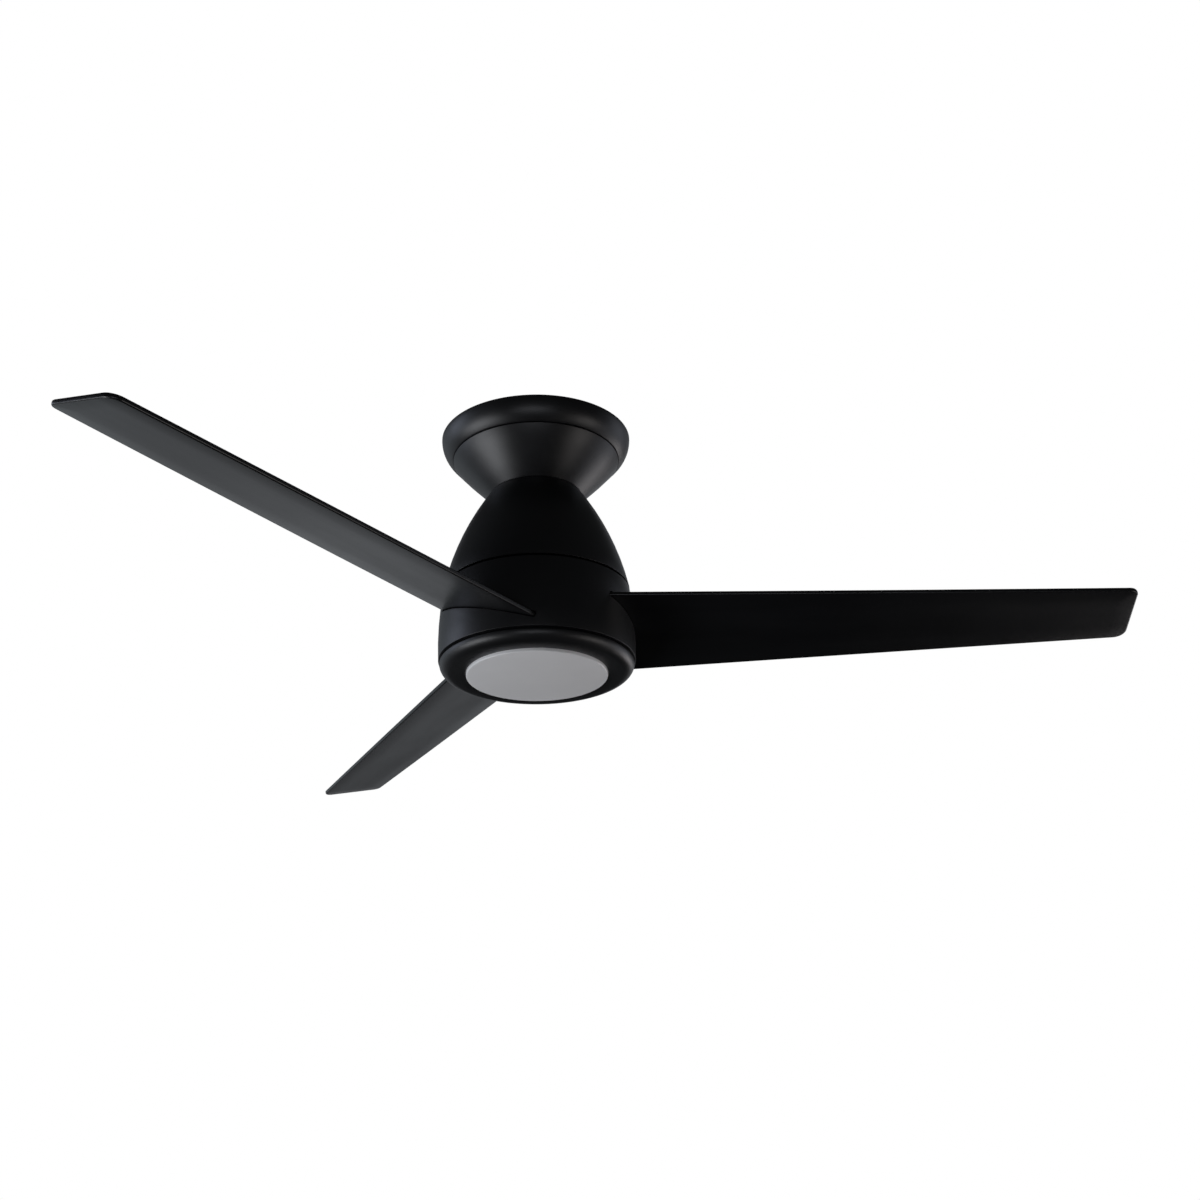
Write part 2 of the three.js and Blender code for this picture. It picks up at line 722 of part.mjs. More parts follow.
function rotorShell() {
  const flangeBottom = coverTop + fitGap;
  const flangeTop = flangeBottom + rotorPlate;
  const bossTop = upperBearing + bearingWidth / 2 + fitGap + bossLip;
  const outline = [
    at(bossBore - raceThickness, bossTop),
    at(bossRadius, bossTop),
    at(bossRadius, rotorTop),
    at(rotorRadius, rotorTop),
    at(rotorRadius, flangeTop),
    at(rotorFlangeRadius, flangeTop),
    at(rotorFlangeRadius, flangeBottom),
    at(rotorInner, flangeBottom),
    at(rotorInner, rotorUnder),
    at(bossBore, rotorUnder),
    at(bossBore, bossTop - bossLip),
    at(bossBore - raceThickness, bossTop - bossLip),
  ];
  const holes = circleOfRods(rotorScrewCircle, flangeBottom - past, flangeTop + past);
  return cut(turned(outline, inside), ...holes);
}

function rotorCover() {
  const bossTop = lowerBearing + bearingWidth / 2 + coverBossRise;
  const lipTop = lowerBearing - bearingWidth / 2 - fitGap;
  const outline = [
    at(bossBore, bossTop),
    at(bossRadius, bossTop),
    at(bossRadius, coverTop),
    at(rotorFlangeRadius, coverTop),
    at(rotorFlangeRadius, coverBottom),
    at(bossRadius, coverBottom),
    at(bossRadius, lipTop - bossLip),
    at(bossBore - raceThickness, lipTop - bossLip),
    at(bossBore - raceThickness, lipTop),
    at(bossBore, lipTop),
  ];
  const holes = circleOfRods(rotorScrewCircle, coverBottom - past, coverTop + past);
  return cut(turned(outline, inside), ...holes);
}

function magnetRing() {
  const low = statorMiddle - magnetHeight / 2;
  const high = statorMiddle + magnetHeight / 2;
  const band = ring(magnetInner, magnetOuter, low, high, inside);
  const grooves = [];
  for (let i = 0; i < toothCount; i += 1) {
    const [from, to] = [magnetInner - past, magnetInner + magnetGrooveDepth];
    const half = magnetGrooveWidth / 2;
    const groove = block(from, -half, low - past, to, half, high + past);
    grooves.push(groove.rotateZ(turn(toothCount, i + 0.5)));
  }
  return cut(band, ...grooves);
}

const rotor = new THREE.Group();
fan.add(rotor);
place(rotor, 'rotor_shell', rotorShell(), blackCoat);
place(rotor, 'rotor_cover', rotorCover(), blackCoat);
place(rotor, 'magnet_ring', magnetRing(), ferrite);

for (const [level, middle] of Object.entries(bearingMiddles)) {
  const bore = bearingOuterRadius - raceThickness;
  place(rotor, `${level}_bearing_outer_race`, race(bore, bearingOuterRadius, bore, middle), steel);
  place(rotor, `${level}_bearing_balls`, ballSet(middle), steel);
}

// ---------------------------------------------------------------- blades, hub and band

// Moves a shape made about a blade's own mid-plane to where that blade's root is.
function onBlade(geometry, index) {
  return geometry.rotateX(rootTilt).translate(0, 0, bladePlane).rotateZ(turn(bladeCount, index));
}

// How far the blade reaches from its centre line at a radius, on one side.
function bladeReach(radius, root, tip, round) {
  const share = (radius - twistStart) / (sweepRadius - twistStart);
  const straight = root + (tip - root) * share;
  if (radius < tongueEnd) return tongueHalfWidth;
  if (radius < fullWidthStart) {
    const blend = (radius - tongueEnd) / (fullWidthStart - tongueEnd);
    const ease = (1 - Math.cos(Math.PI * blend)) / 2;
    return tongueHalfWidth + (straight - tongueHalfWidth) * ease;
  }
  const beyond = Math.max(0, radius - (sweepRadius - round));
  return straight - round + Math.sqrt(Math.max(0, round ** 2 - beyond ** 2));
}

// The radii at which a blade's section is drawn.
function bladeStations() {
  const stations = [bladeRootRadius];
  for (let i = 0; i <= 4; i += 1) stations.push(tongueEnd + ((fullWidthStart - tongueEnd) * i) / 4);
  stations.push(twistStart);
  const roundStart = sweepRadius - tipTrailingRound;
  for (let i = 1; i <= 6; i += 1) stations.push(twistStart + ((roundStart - twistStart) * i) / 6);
  for (let i = 1; i <= 5; i += 1) {
    stations.push(roundStart + tipTrailingRound * Math.sin((Math.PI / 2) * (i / 5)));
  }
  return stations;
}

// A blade drawn along +X: a thin plate with rounded long edges, extruded along its length, then drawn
// out to its plan shape and twisted section by section. The growth is the clearance of its slot.
function bladeShape(growth = 0) {
  const thick = bladeThickness / 2 + growth;
  const edge = bladeEdgeRound;
  const outline = [];
  for (let i = 0; i <= 3; i += 1) {
    const angle = Math.PI / 2 - (Math.PI * i) / 3;
    outline.push(at(1 + Math.cos(angle), Math.sin(angle)));
  }
  for (let i = 0; i <= 3; i += 1) {
    const angle = -Math.PI / 2 - (Math.PI * i) / 3;
    outline.push(at(-1 + Math.cos(angle), Math.sin(angle)));
  }
  const stations = bladeStations();
  const steps = stations.length - 1;
  const options = { depth: steps, steps, bevelEnabled: false };
  const bar = new THREE.ExtrudeGeometry(new THREE.Shape(outline), options);
  const position = bar.attributes.position;
  for (let i = 0; i < position.count; i += 1) {
    const radius = stations[Math.round(position.getZ(i))];
    const side = Math.sign(position.getX(i));
    const roundPart = position.getX(i) - side;
    const reach = side > 0
      ? bladeReach(radius, rootTrailing, tipTrailing, tipTrailingRound)
      : bladeReach(radius, rootLeading, tipLeading, tipLeadingRound);
    const across = side * (reach - edge + growth) + roundPart * edge;
    const lift = position.getY(i) * thick;
    const along = Math.max(0, radius - twistStart) / (sweepRadius - twistStart);
    const pitch = bladeRootPitch + (bladeTipPitch - bladeRootPitch) * along;
    const tilt = -THREE.MathUtils.degToRad(pitch);
    const y = across * Math.cos(tilt) - lift * Math.sin(tilt);
    const z = across * Math.sin(tilt) + lift * Math.cos(tilt);
    position.setXYZ(i, radius, y, z + bladePlane);
  }
  return bar;
}

function bladeScrewHoles() {
  return [1, -1].map((side) => {
    const [low, high] = [clampLow - past, padLow + padThickness + past];
    return rod(smallScrew.shank + fitGap, low, high, bladeScrewRadius, side * bladeScrewSpread);
  });
}

function blade() {
  const holes = bladeScrewHoles().map((hole) => onBlade(hole, 0));
  return cut(bladeShape(), ...holes);
}

function bladeClamp() {
  const half = padWidth / 2 - clampInset;
  const [from, to] = [bladeRootRadius + clampInset, bladeRootRadius + padLength - clampInset];
  return cut(block(from, -half, clampLow, to, half, clampHigh), ...bladeScrewHoles());
}

// The cast spider: a plate under the motor, and a post and a tilted pad for each blade.
function bladeHub() {
  const outline = [
    at(hubBore, hubBottom),
    at(hubRadius, hubBottom),
    at(hubRadius, hubTop),
    at(hubCollarRadius, hubTop),
    at(hubCollarRadius, hubCollarTop),
    at(hubBore, hubCollarTop),
  ];
  const pieces = [];
  const tools = [];
  for (let i = 0; i < bladeCount; i += 1) {
    const halfPost = postWidth / 2;
    const postIn = bladeScrewRadius - postLength / 2;
    const postOut = postIn + postLength;
    const post = block(postIn, -halfPost, bladePlane, postOut, halfPost, hubBottom + past);
    const padMiddle = padLow + padThickness / 2;
    const belowPad = block(0, -padWidth, -padWidth, hubRadius * 2, padWidth, padMiddle);
    const angle = turn(bladeCount, i);
    const trimmed = cut(post.rotateZ(angle), onBlade(belowPad, i));
    const padEnd = bladeRootRadius + padLength;
    const padTop = padLow + padThickness;
    const pad = block(bladeRootRadius, -padWidth / 2, padLow, padEnd, padWidth / 2, padTop);
    pieces.push(trimmed, onBlade(pad, i));
    tools.push(...bladeScrewHoles().map((hole) => onBlade(hole, i)));
  }
  tools.push(...circleOfRods(rotorScrewCircle, hubBottom - past, hubCollarTop + past));
  tools.push(...circleOfRods(bandScrewCircle, hubBottom - past, hubTop + past));
  return cut(joined(turned(outline, inside), ...pieces), ...tools);
}

function rotorBand() {
  const levels = [0, 1, 2, 3, 4].map((index) => bandTop - (bandHeight * index) / 4);
  const lipTop = bandBottom + bandWall;
  const innerFace = [0, 1, 2].map((index) => {
    const level = lipTop + ((bandFlangeBottom - lipTop) * index) / 2;
    return at(bandRadius(level) - bandWall, level);
  });
  const outline = [
    at(bandFlangeBore, bandTop),
    ...levels.map((level) => at(bandRadius(level), level)),
    at(bandLipBore, bandBottom),
    at(bandLipBore, lipTop),
    ...innerFace,
    at(bandFlangeBore, bandFlangeBottom),
  ];
  const tools = circleOfRods(bandScrewCircle, bandFlangeBottom - past, bandTop + past);
  for (let i = 0; i < bladeCount; i += 1) {
    tools.push(bladeShape(slotClearance).rotateZ(turn(bladeCount, i)));
  }
  return cut(turned(outline, broad), ...tools);
}

place(rotor, 'blade_hub', bladeHub(), blackCoat);
place(rotor, 'rotor_band', rotorBand(), blackCoat);

for (let i = 0; i < bladeCount; i += 1) {
  const angle = turn(bladeCount, i);
  const root = new THREE.Group();
  root.rotation.z = angle;
  rotor.add(root);
  place(root, `blade_${i + 1}`, blade(), bladeBlack);
  const tilted = new THREE.Group();
  tilted.position.z = bladePlane;
  tilted.rotation.x = rootTilt;
  root.add(tilted);
  place(tilted, `blade_clamp_${i + 1}`, bladeClamp(), zincPlate);
  for (const [letter, side] of [['a', 1], ['b', -1]]) {
    const length = padLow + padThickness - clampLow;
    const bladeScrew = place(tilted, `blade_screw_${i + 1}${letter}`, screw(smallScrew, length), steel);
    bladeScrew.position.set(bladeScrewRadius, side * bladeScrewSpread, clampLow - fitGap);
  }

  const between = turn(3, i + 0.5);
  const [east, north] = [Math.cos(between), Math.sin(between)];
  const rotorLength = coverTop + fitGap + rotorPlate - hubBottom;
  const rotorScrew = place(rotor, `rotor_screw_${i + 1}`, screw(smallScrew, rotorLength), blackSteel);
  rotorScrew.position.set(rotorScrewCircle * east, rotorScrewCircle * north, hubBottom - fitGap);
  const bandScrew = place(rotor, `band_screw_${i + 1}`, screw(smallScrew, bandWall + hubPlate), blackSteel);
  bandScrew.rotation.x = Math.PI;
  bandScrew.position.set(bandScrewCircle * east, bandScrewCircle * north, bandTop + fitGap);
}

// ---------------------------------------------------------------- light kit

const bezelScrewAngle = (index) => turn(3, index) + Math.PI / 6;

function aroundBezel(make) {
  return [0, 1, 2].map((index) => {
    const angle = bezelScrewAngle(index);
    return make().translate(bezelScrewCircle * Math.cos(angle), bezelScrewCircle * Math.sin(angle), 0);
  });
}

function lightPan() {
  const hole = shaftRadius + fitGap;
  const skirtEnd = bezelTop + skirtClearance;
  const outline = [
    at(hole, panPlateau),
    at(panPlateauRadius, panPlateau),
    at(panPlateauRadius, panFlat),
    at(panRadius, panFlat),
    at(panRadius, skirtEnd),
    at(panRadius - panWall, skirtEnd),
    at(panRadius - panWall, panUnder),
    at(panPlateauRadius - panWall, panUnder),
    at(panPlateauRadius - panWall, panPlateau - panWall),
    at(hole, panPlateau - panWall),
  ];
  const holes = aroundBezel(() => rod(smallScrew.shank + fitGap, panUnder - past, panFlat + past));
  return cut(turned(outline, broad), ...holes);
}

function lightBezel() {
  const roundOf = (width, depth, from, pieces) => {
    const points = [];
    for (let i = 0; i <= pieces; i += 1) {
      const angle = from + ((Math.PI / 2 - from) * i) / pieces;
      points.push(at(bezelFaceRadius + width * Math.cos(angle), bezelTop - depth * Math.sin(angle)));
    }
    return points;
  };
  const innerWidth = bezelRoundWidth - bezelWall;
  const innerDepth = bezelHeight - bezelWall;
  const meets = Math.acos((bezelCollarRadius - bezelFaceRadius) / innerWidth);
  const innerRound = [];
  for (let i = 0; i <= 2; i += 1) {
    const angle = (meets * i) / 2;
    const [out, down] = [innerWidth * Math.cos(angle), innerDepth * Math.sin(angle)];
    innerRound.push(at(bezelFaceRadius + out, bezelTop - down));
  }
  const outline = [
    ...roundOf(bezelRoundWidth, bezelHeight, 0, 5),
    at(lensHole, bezelBottom),
    at(lensHole, bezelFlange),
    at(bezelCollarRadius - bezelWall, bezelFlange),
    at(bezelCollarRadius - bezelWall, boardTop),
    at(bezelCollarRadius, boardTop),
    ...innerRound.reverse(),
  ];
  const posts = aroundBezel(() => rod(bezelPostRadius, bezelFlange - past, boardTop));
  const boreEnd = bezelFlange + bezelWall;
  const bores = aroundBezel(() => rod(smallScrew.shank + fitGap, boreEnd, boardTop + past));
  return cut(joined(turned(outline, broad), ...posts), ...bores);
}

function diffuser() {
  const lipLow = bezelFlange + fitGap;
  const lipHigh = lipLow + lensLipThickness;
  const outline = [
    at(0, lensFace),
    at(lensRadius - lensEdge, lensFace),
    at(lensRadius - lensEdge * 0.3, lensFace + lensEdge * 0.3),
    at(lensRadius, lensFace + lensEdge),
    at(lensRadius, lipLow),
    at(lensRadius + lensLip, lipLow),
    at(lensRadius + lensLip, lipHigh),
    at(lensRadius - lensWall, lipHigh),
    at(lensRadius - lensWall, lensFace + lensWall),
    at(0, lensFace + lensWall),
  ];
  return turned(outline, broad);
}

function ledBoard() {
  const low = boardTop - boardThickness;
  const chips = [];
  const half = chipSize / 2;
  for (const [circle, count] of chipCircles) {
    for (let i = 0; i < count; i += 1) {
      const [under, over] = [low - chipRise, low + chipSunk];
      const chip = block(circle - half, -half, under, circle + half, half, over);
      chips.push(chip.rotateZ(turn(count, i)));
    }
  }
  return joined(ring(0, boardRadius, low, boardTop, inside), ...chips);
}

function shaftNut() {
  const hole = shaftRadius + fitGap;
  const nutBottom = nutTop - nutHeight;
  const hexagon = ring(0, shaftRadius + nutWall, nutBottom, nutTop, 6);
  return cut(hexagon, rod(hole, nutBottom - past, nutTop + past, 0, 0, narrow));
}

// A moulded case: a block with its upright corners cut off.
function caseOf(x0, y0, z0, x1, y1, z1, corner) {
  const outline = new THREE.Shape([
    at(x0 + corner, y0),
    at(x1 - corner, y0),
    at(x1, y0 + corner),
    at(x1, y1 - corner),
    at(x1 - corner, y1),
    at(x0 + corner, y1),
    at(x0, y1 - corner),
    at(x0, y0 + corner),
  ]);
  const options = { depth: z1 - z0, bevelEnabled: false };
  return new THREE.ExtrudeGeometry(outline, options).translate(0, 0, z0);
}

const driverSize = { from: shaftRadius + 3, length: 26, halfWidth: 19, height: 18.7, corner: 3 };
const driverEnd = driverSize.from + driverSize.length;
const driverTop = driverBase + driverSize.height;

function driverCase() {
  const { from, halfWidth, corner } = driverSize;
  return caseOf(from, -halfWidth, driverBase, driverEnd, halfWidth, driverTop, corner);
}

const lightKit = new THREE.Group();
fan.add(lightKit);
place(lightKit, 'light_pan', lightPan(), blackCoat);
place(lightKit, 'shaft_nut', shaftNut(), steel);
place(lightKit, 'led_board', ledBoard(), boardWhite);
place(lightKit, 'light_bezel', lightBezel(), blackCoat);
place(lightKit, 'diffuser', diffuser(), opal);
place(lightKit, 'led_driver', driverCase(), whitePlastic);

for (let i = 0; i < 3; i += 1) {
  const angle = bezelScrewAngle(i);
  const bezelScrew = place(lightKit, `bezel_screw_${i + 1}`, screw(smallScrew, bezelScrewLength), steel);
  const [x, y] = [bezelScrewCircle * Math.cos(angle), bezelScrewCircle * Math.sin(angle)];
  bezelScrew.rotation.x = Math.PI;
  bezelScrew.position.set(x, y, panFlat + fitGap);
}

// ---------------------------------------------------------------- wiring in the canopy

const underBracket = -(bracketThickness + fitGap);
const receiverFront = hangerFlangeRadius + 10;
const terminalBack = -(hangerFlangeRadius + 12);
const receiver = {
  front: receiverFront,
  back: receiverFront + 26,
  halfLength: 30,
  height: 20,
  corner: 4,
};
const terminal = {
  front: terminalBack - 16,
  back: terminalBack,
  halfLength: 20,
  height: 12,
  wellSpread: 13,
  wellDepth: 6,
};

function terminalBlock() {
  const { front, back, halfLength, wellSpread, wellDepth } = terminal;
  const low = underBracket - terminal.height;
  const body = block(-halfLength, front, low, halfLength, back, underBracket);
  const wells = [-wellSpread, 0, wellSpread].map((x) => {
    return rod(wellRadius, low - past, low + wellDepth, x, (front + back) / 2);
  });
  return cut(body, ...wells);
}

function receiverBox() {
  const { front, back, halfLength, corner } = receiver;
  const low = underBracket - receiver.height;
  return caseOf(-halfLength, front, low, halfLength, back, underBracket, corner);
}

// From the side of the terminal block, round the hanger, to the end of the receiver.
function supplyLead() {
  const level = underBracket - terminal.height / 2;
  const terminalY = (terminal.front + terminal.back) / 2;
  const receiverY = (receiver.front + receiver.back) / 2;
  const points = [
    [-terminal.halfLength - leadGap, terminalY, level],
    [-terminal.halfLength - 5, terminalY, level],
    [-44, -34, level - 6],
    [-52, 0, level - 9],
    [-48, 34, level - 7],
    [-receiver.halfLength - 5, receiverY, level - 4],
    [-receiver.halfLength - leadGap, receiverY, level - 4],
  ];
  return lead(points, supplyRadius, 16);
}

// From the receiver, through the window in the hanger, down inside the shaft, and out to the driver.
function controlLead() {
  const receiverExit = underBracket - 0.7 * receiver.height;
  const offset = shaftBore - leadRadius - 0.5;
  const driverX = (driverSize.from + driverEnd) / 2;
  const points = [
    [0, receiver.front - leadGap, receiverExit],
    [0, receiver.front - 5, receiverExit],
    [0, hangerRadius + 8, windowLevel + 6],
    [0, hangerBore - 1.3, windowLevel - 2],
    [0, offset, windowLevel - 14],
    [0, offset, shaftTop - 12],
    [0, offset, (shaftTop + leadExit) / 2],
    [0, offset, leadExit + 32],
    [0, offset - 1.2, leadExit + 18],
    [2.2, 1.4, leadExit + 8],
    [9, 0, leadExit],
    [18, 0, leadExit - 5],
    [driverX, 0, driverTop + 6],
    [driverX, 0, driverTop + leadGap],
  ];
  return lead(points, leadRadius, 36);
}

const wiring = new THREE.Group();
fan.add(wiring);
place(wiring, 'terminal_block', terminalBlock(), whitePlastic);
place(wiring, 'receiver_box', receiverBox(), greyPlastic);
place(wiring, 'supply_lead', supplyLead(), leadGrey);
place(wiring, 'control_lead', controlLead(), leadGrey);

export default fan;
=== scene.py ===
# Ceiling fan with three blades and a round light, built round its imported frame.
# Metres, +Z up, and the centre of the ceiling plane at the origin.
import json
import math

import bmesh
import bpy
from mathutils import Matrix, Vector


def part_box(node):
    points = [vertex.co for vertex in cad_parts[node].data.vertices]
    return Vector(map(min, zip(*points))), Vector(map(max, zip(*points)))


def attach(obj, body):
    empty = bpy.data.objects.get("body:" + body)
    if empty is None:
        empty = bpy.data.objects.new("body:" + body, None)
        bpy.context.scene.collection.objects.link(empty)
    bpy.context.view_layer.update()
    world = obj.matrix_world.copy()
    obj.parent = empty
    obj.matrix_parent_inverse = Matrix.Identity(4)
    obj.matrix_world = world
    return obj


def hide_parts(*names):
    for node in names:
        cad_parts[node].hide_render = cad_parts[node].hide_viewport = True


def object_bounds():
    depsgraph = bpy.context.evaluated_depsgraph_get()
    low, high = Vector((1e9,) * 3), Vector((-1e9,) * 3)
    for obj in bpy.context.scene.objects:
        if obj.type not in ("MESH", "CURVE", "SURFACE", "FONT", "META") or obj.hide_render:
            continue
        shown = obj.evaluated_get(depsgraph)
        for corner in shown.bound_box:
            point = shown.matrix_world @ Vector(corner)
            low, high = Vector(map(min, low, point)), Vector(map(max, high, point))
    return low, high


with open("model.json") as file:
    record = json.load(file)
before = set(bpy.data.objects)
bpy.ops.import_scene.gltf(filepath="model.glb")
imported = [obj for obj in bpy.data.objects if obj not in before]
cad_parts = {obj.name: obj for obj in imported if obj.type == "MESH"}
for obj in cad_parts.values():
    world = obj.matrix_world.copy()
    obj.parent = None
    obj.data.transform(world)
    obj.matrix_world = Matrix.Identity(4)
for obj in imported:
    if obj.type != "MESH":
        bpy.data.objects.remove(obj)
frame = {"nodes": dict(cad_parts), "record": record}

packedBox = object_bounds()
scene = bpy.context.scene
nodes = frame["nodes"]
mm = 0.001
print("frame loaded:", len(nodes), "nodes")


# Camera and lights.
viewpoint = {
    "place": (0.1732, -1.7477, -0.9636),
    "pitch": 21.494,      # degrees above level
    "heading": 5.561,     # degrees left of +Y
    "roll": -0.3325,
    "lens": 49.94,        # millimetres, as the sensor's width
    "sensor": 36,
    "shift": (0.0504, 0.0451),
    "reach": (0.02, 200),
}


def placeCamera():
    data = bpy.data.cameras.new("camera")
    data.lens = viewpoint["lens"]
    data.sensor_width = viewpoint["sensor"]
    data.shift_x, data.shift_y = viewpoint["shift"]
    data.clip_start, data.clip_end = viewpoint["reach"]
    camera = bpy.data.objects.new("camera", data)
    scene.collection.objects.link(camera)
    turn = Matrix.Rotation(math.radians(viewpoint["heading"]), 4, "Z")
    tip = Matrix.Rotation(math.radians(90 + viewpoint["pitch"]), 4, "X")
    lean = Matrix.Rotation(math.radians(viewpoint["roll"]), 4, "Z")
    camera.matrix_world = Matrix.Translation(viewpoint["place"]) @ turn @ tip @ lean
    scene.camera = camera


studio = {
    "backdrop": (1, 1, 1, 1),       # what the camera sees behind the fan
    "backdropStrength": 1.0,
    "air": (0.96, 0.98, 1, 1),      # what lights the fan itself from all round
    "airStrength": 0.034,
    "aim": (0, 0, -0.15),           # where the softboxes point
    # place, width, height, watts, beam in degrees, colour
    "softboxes": {
        "rearWash": ((0.0, 3.4, 0.75), 5.0, 3.3, 5.2, 80, (0.90, 0.94, 1.0)),
        "leftBox": ((-2.4, 1.9, 0.1), 1.8, 3.0, 1.2, 80, (0.82, 0.93, 1.0)),
        "leftRear": ((-1.65, 2.45, -0.6), 2.0, 1.6, 0.55, 90, (0.90, 0.95, 1.0)),
        "leftSide": ((-3.0, 0.3, 0.1), 1.5, 2.0, 4.0, 80, (0.76, 0.83, 1.0)),
        "rightBox": ((2.5, 1.4, -0.2), 1.6, 3.0, 3.0, 80, (0.84, 0.88, 1.0)),
        "lowLeft": ((-2.3, -0.6, -1.7), 1.6, 1.4, 9.6, 90, (0.94, 0.96, 1.0)),
        "lowRight": ((2.3, -0.3, -1.7), 1.6, 1.4, 3.2, 90, (1.0, 0.95, 0.93)),
        "lowRear": ((1.85, 2.2, -1.1), 1.2, 1.2, 2.9, 90, (1.0, 0.96, 0.97)),
        "lowFront": ((0.1, -2.4, -1.3), 1.6, 0.8, 1.8, 90, (0.90, 0.92, 1.0)),
    },
}


def lightStudio():
    for name, (place, width, height, watts, beam, colour) in studio["softboxes"].items():
        data = bpy.data.lights.new(name, "AREA")
        data.shape = "RECTANGLE"
        data.size, data.size_y = width, height
        data.energy, data.color = watts, colour
        data.spread = math.radians(beam)
        lamp = bpy.data.objects.new(name, data)
        scene.collection.objects.link(lamp)
        away = Vector(place) - Vector(studio["aim"])
        lamp.location = place
        lamp.rotation_euler = away.to_track_quat("Z", "Y").to_euler()
        lamp.visible_camera = False
    world = bpy.data.worlds.new("studioAir")
    world.use_nodes = True
    tree = world.node_tree
    tree.nodes.clear()
    out = tree.nodes.new("ShaderNodeOutputWorld")
    mix = tree.nodes.new("ShaderNodeMixShader")
    seen = tree.nodes.new("ShaderNodeBackground")
    around = tree.nodes.new("ShaderNodeBackground")
    seen.inputs["Color"].default_value = studio["backdrop"]
    seen.inputs["Strength"].default_value = studio["backdropStrength"]
    around.inputs["Color"].default_value = studio["air"]
    around.inputs["Strength"].default_value = studio["airStrength"]
    path = tree.nodes.new("ShaderNodeLightPath")
    tree.links.new(path.outputs["Is Camera Ray"], mix.inputs[0])
    tree.links.new(around.outputs[0], mix.inputs[1])
    tree.links.new(seen.outputs[0], mix.inputs[2])
    tree.links.new(mix.outputs[0], out.inputs["Surface"])
    scene.world = world
    scene.view_settings.view_transform = "Standard"


placeCamera()
lightStudio()
print("camera and lights placed")


# Shader node helpers.

def put(tree, kind, **values):
    # adds a node; a value named after a socket is set on it, any other on the node itself
    node = tree.nodes.new(kind)
    for key, value in values.items():
        socket = key.replace("_", " ")
        if socket in node.inputs:
            node.inputs[socket].default_value = value
        else:
            setattr(node, key, value)
    return node


def wire(tree, source, target):
    tree.links.new(source, target)


def newGroup(name, inputs, outputs):
    group = bpy.data.node_groups.new(name, "ShaderNodeTree")
    for label, start in inputs.items():
        kind = "NodeSocketVector" if start is None else "NodeSocketFloat"
        socket = group.interface.new_socket(label, in_out="INPUT", socket_type=kind)
        if start is not None:
            socket.default_value = start
    for label in outputs:
        group.interface.new_socket(label, in_out="OUTPUT", socket_type="NodeSocketFloat")
    return group, put(group, "NodeGroupInput"), put(group, "NodeGroupOutput")


groupLook = {
    "pebbleShare": 0.55,          # scale of the pebbles against that of the fine noise
    "toneSpan": (0.32, 0.68),     # noise levels that make the darkest and the lightest tone
    "levelSpan": (0.25, 0.95),    # how far a surface faces up, from no dust to full dust
    "moteSpan": (0.35, 0.75),     # noise levels that make thin and thick dust
    "chipScale": 240.0,
}


# Stretches the values between two levels over the whole range from 0 to 1.
def putSpan(tree, levels, **values):
    ramp = put(tree, "ShaderNodeMapRange", **values)
    ramp.inputs["From Min"].default_value, ramp.inputs["From Max"].default_value = levels
    return ramp


# Fine texture of a sprayed, cast or moulded skin, with a slow change of tone over it.
def buildSkinGrain():
    group, given, out = newGroup(
        "skinGrain",
        {"Vector": None, "Grain": 900.0, "Patch": 14.0, "Coarse": 0.35},
        ["Height", "Tone"])
    fine = put(group, "ShaderNodeTexNoise", Detail=2.0, Roughness=0.55)
    pebble = put(group, "ShaderNodeTexVoronoi", feature="SMOOTH_F1", Smoothness=0.8)
    patch = put(group, "ShaderNodeTexNoise", Detail=4.0, Roughness=0.6)
    coarser = put(group, "ShaderNodeMath", operation="MULTIPLY")
    coarser.inputs[1].default_value = groupLook["pebbleShare"]
    blend = put(group, "ShaderNodeMix", data_type="FLOAT")
    spread = putSpan(group, groupLook["toneSpan"])
    for node in (fine, pebble, patch):
        wire(group, given.outputs["Vector"], node.inputs["Vector"])
    wire(group, given.outputs["Grain"], fine.inputs["Scale"])
    wire(group, given.outputs["Grain"], coarser.inputs[0])
    wire(group, coarser.outputs[0], pebble.inputs["Scale"])
    wire(group, given.outputs["Patch"], patch.inputs["Scale"])
    wire(group, given.outputs["Coarse"], blend.inputs[0])
    wire(group, fine.outputs[0], blend.inputs[2])
    wire(group, pebble.outputs["Distance"], blend.inputs[3])
    wire(group, blend.outputs[0], out.inputs["Height"])
    wire(group, patch.outputs[0], spread.inputs["Value"])
    wire(group, spread.outputs[0], out.inputs["Tone"])
    return group


# Dust that settles where a surface faces up.
def buildDustFall():
    group, given, out = newGroup(
        "dustFall", {"Vector": None, "Amount": 0.2, "Clumps": 60.0}, ["Mask"])
    facing = put(group, "ShaderNodeNewGeometry")
    split = put(group, "ShaderNodeSeparateXYZ")
    level = putSpan(group, groupLook["levelSpan"], interpolation_type="SMOOTHSTEP")
    motes = put(group, "ShaderNodeTexNoise", Detail=5.0, Roughness=0.7)
    thin = putSpan(group, groupLook["moteSpan"])
    both = put(group, "ShaderNodeMath", operation="MULTIPLY")
    scaled = put(group, "ShaderNodeMath", operation="MULTIPLY")
    wire(group, facing.outputs["Normal"], split.inputs[0])
    wire(group, split.outputs["Z"], level.inputs["Value"])
    wire(group, given.outputs["Vector"], motes.inputs["Vector"])
    wire(group, given.outputs["Clumps"], motes.inputs["Scale"])
    wire(group, motes.outputs[0], thin.inputs["Value"])
    wire(group, level.outputs[0], both.inputs[0])
    wire(group, thin.outputs[0], both.inputs[1])
    wire(group, both.outputs[0], scaled.inputs[0])
    wire(group, given.outputs["Amount"], scaled.inputs[1])
    wire(group, scaled.outputs[0], out.inputs["Mask"])
    return group


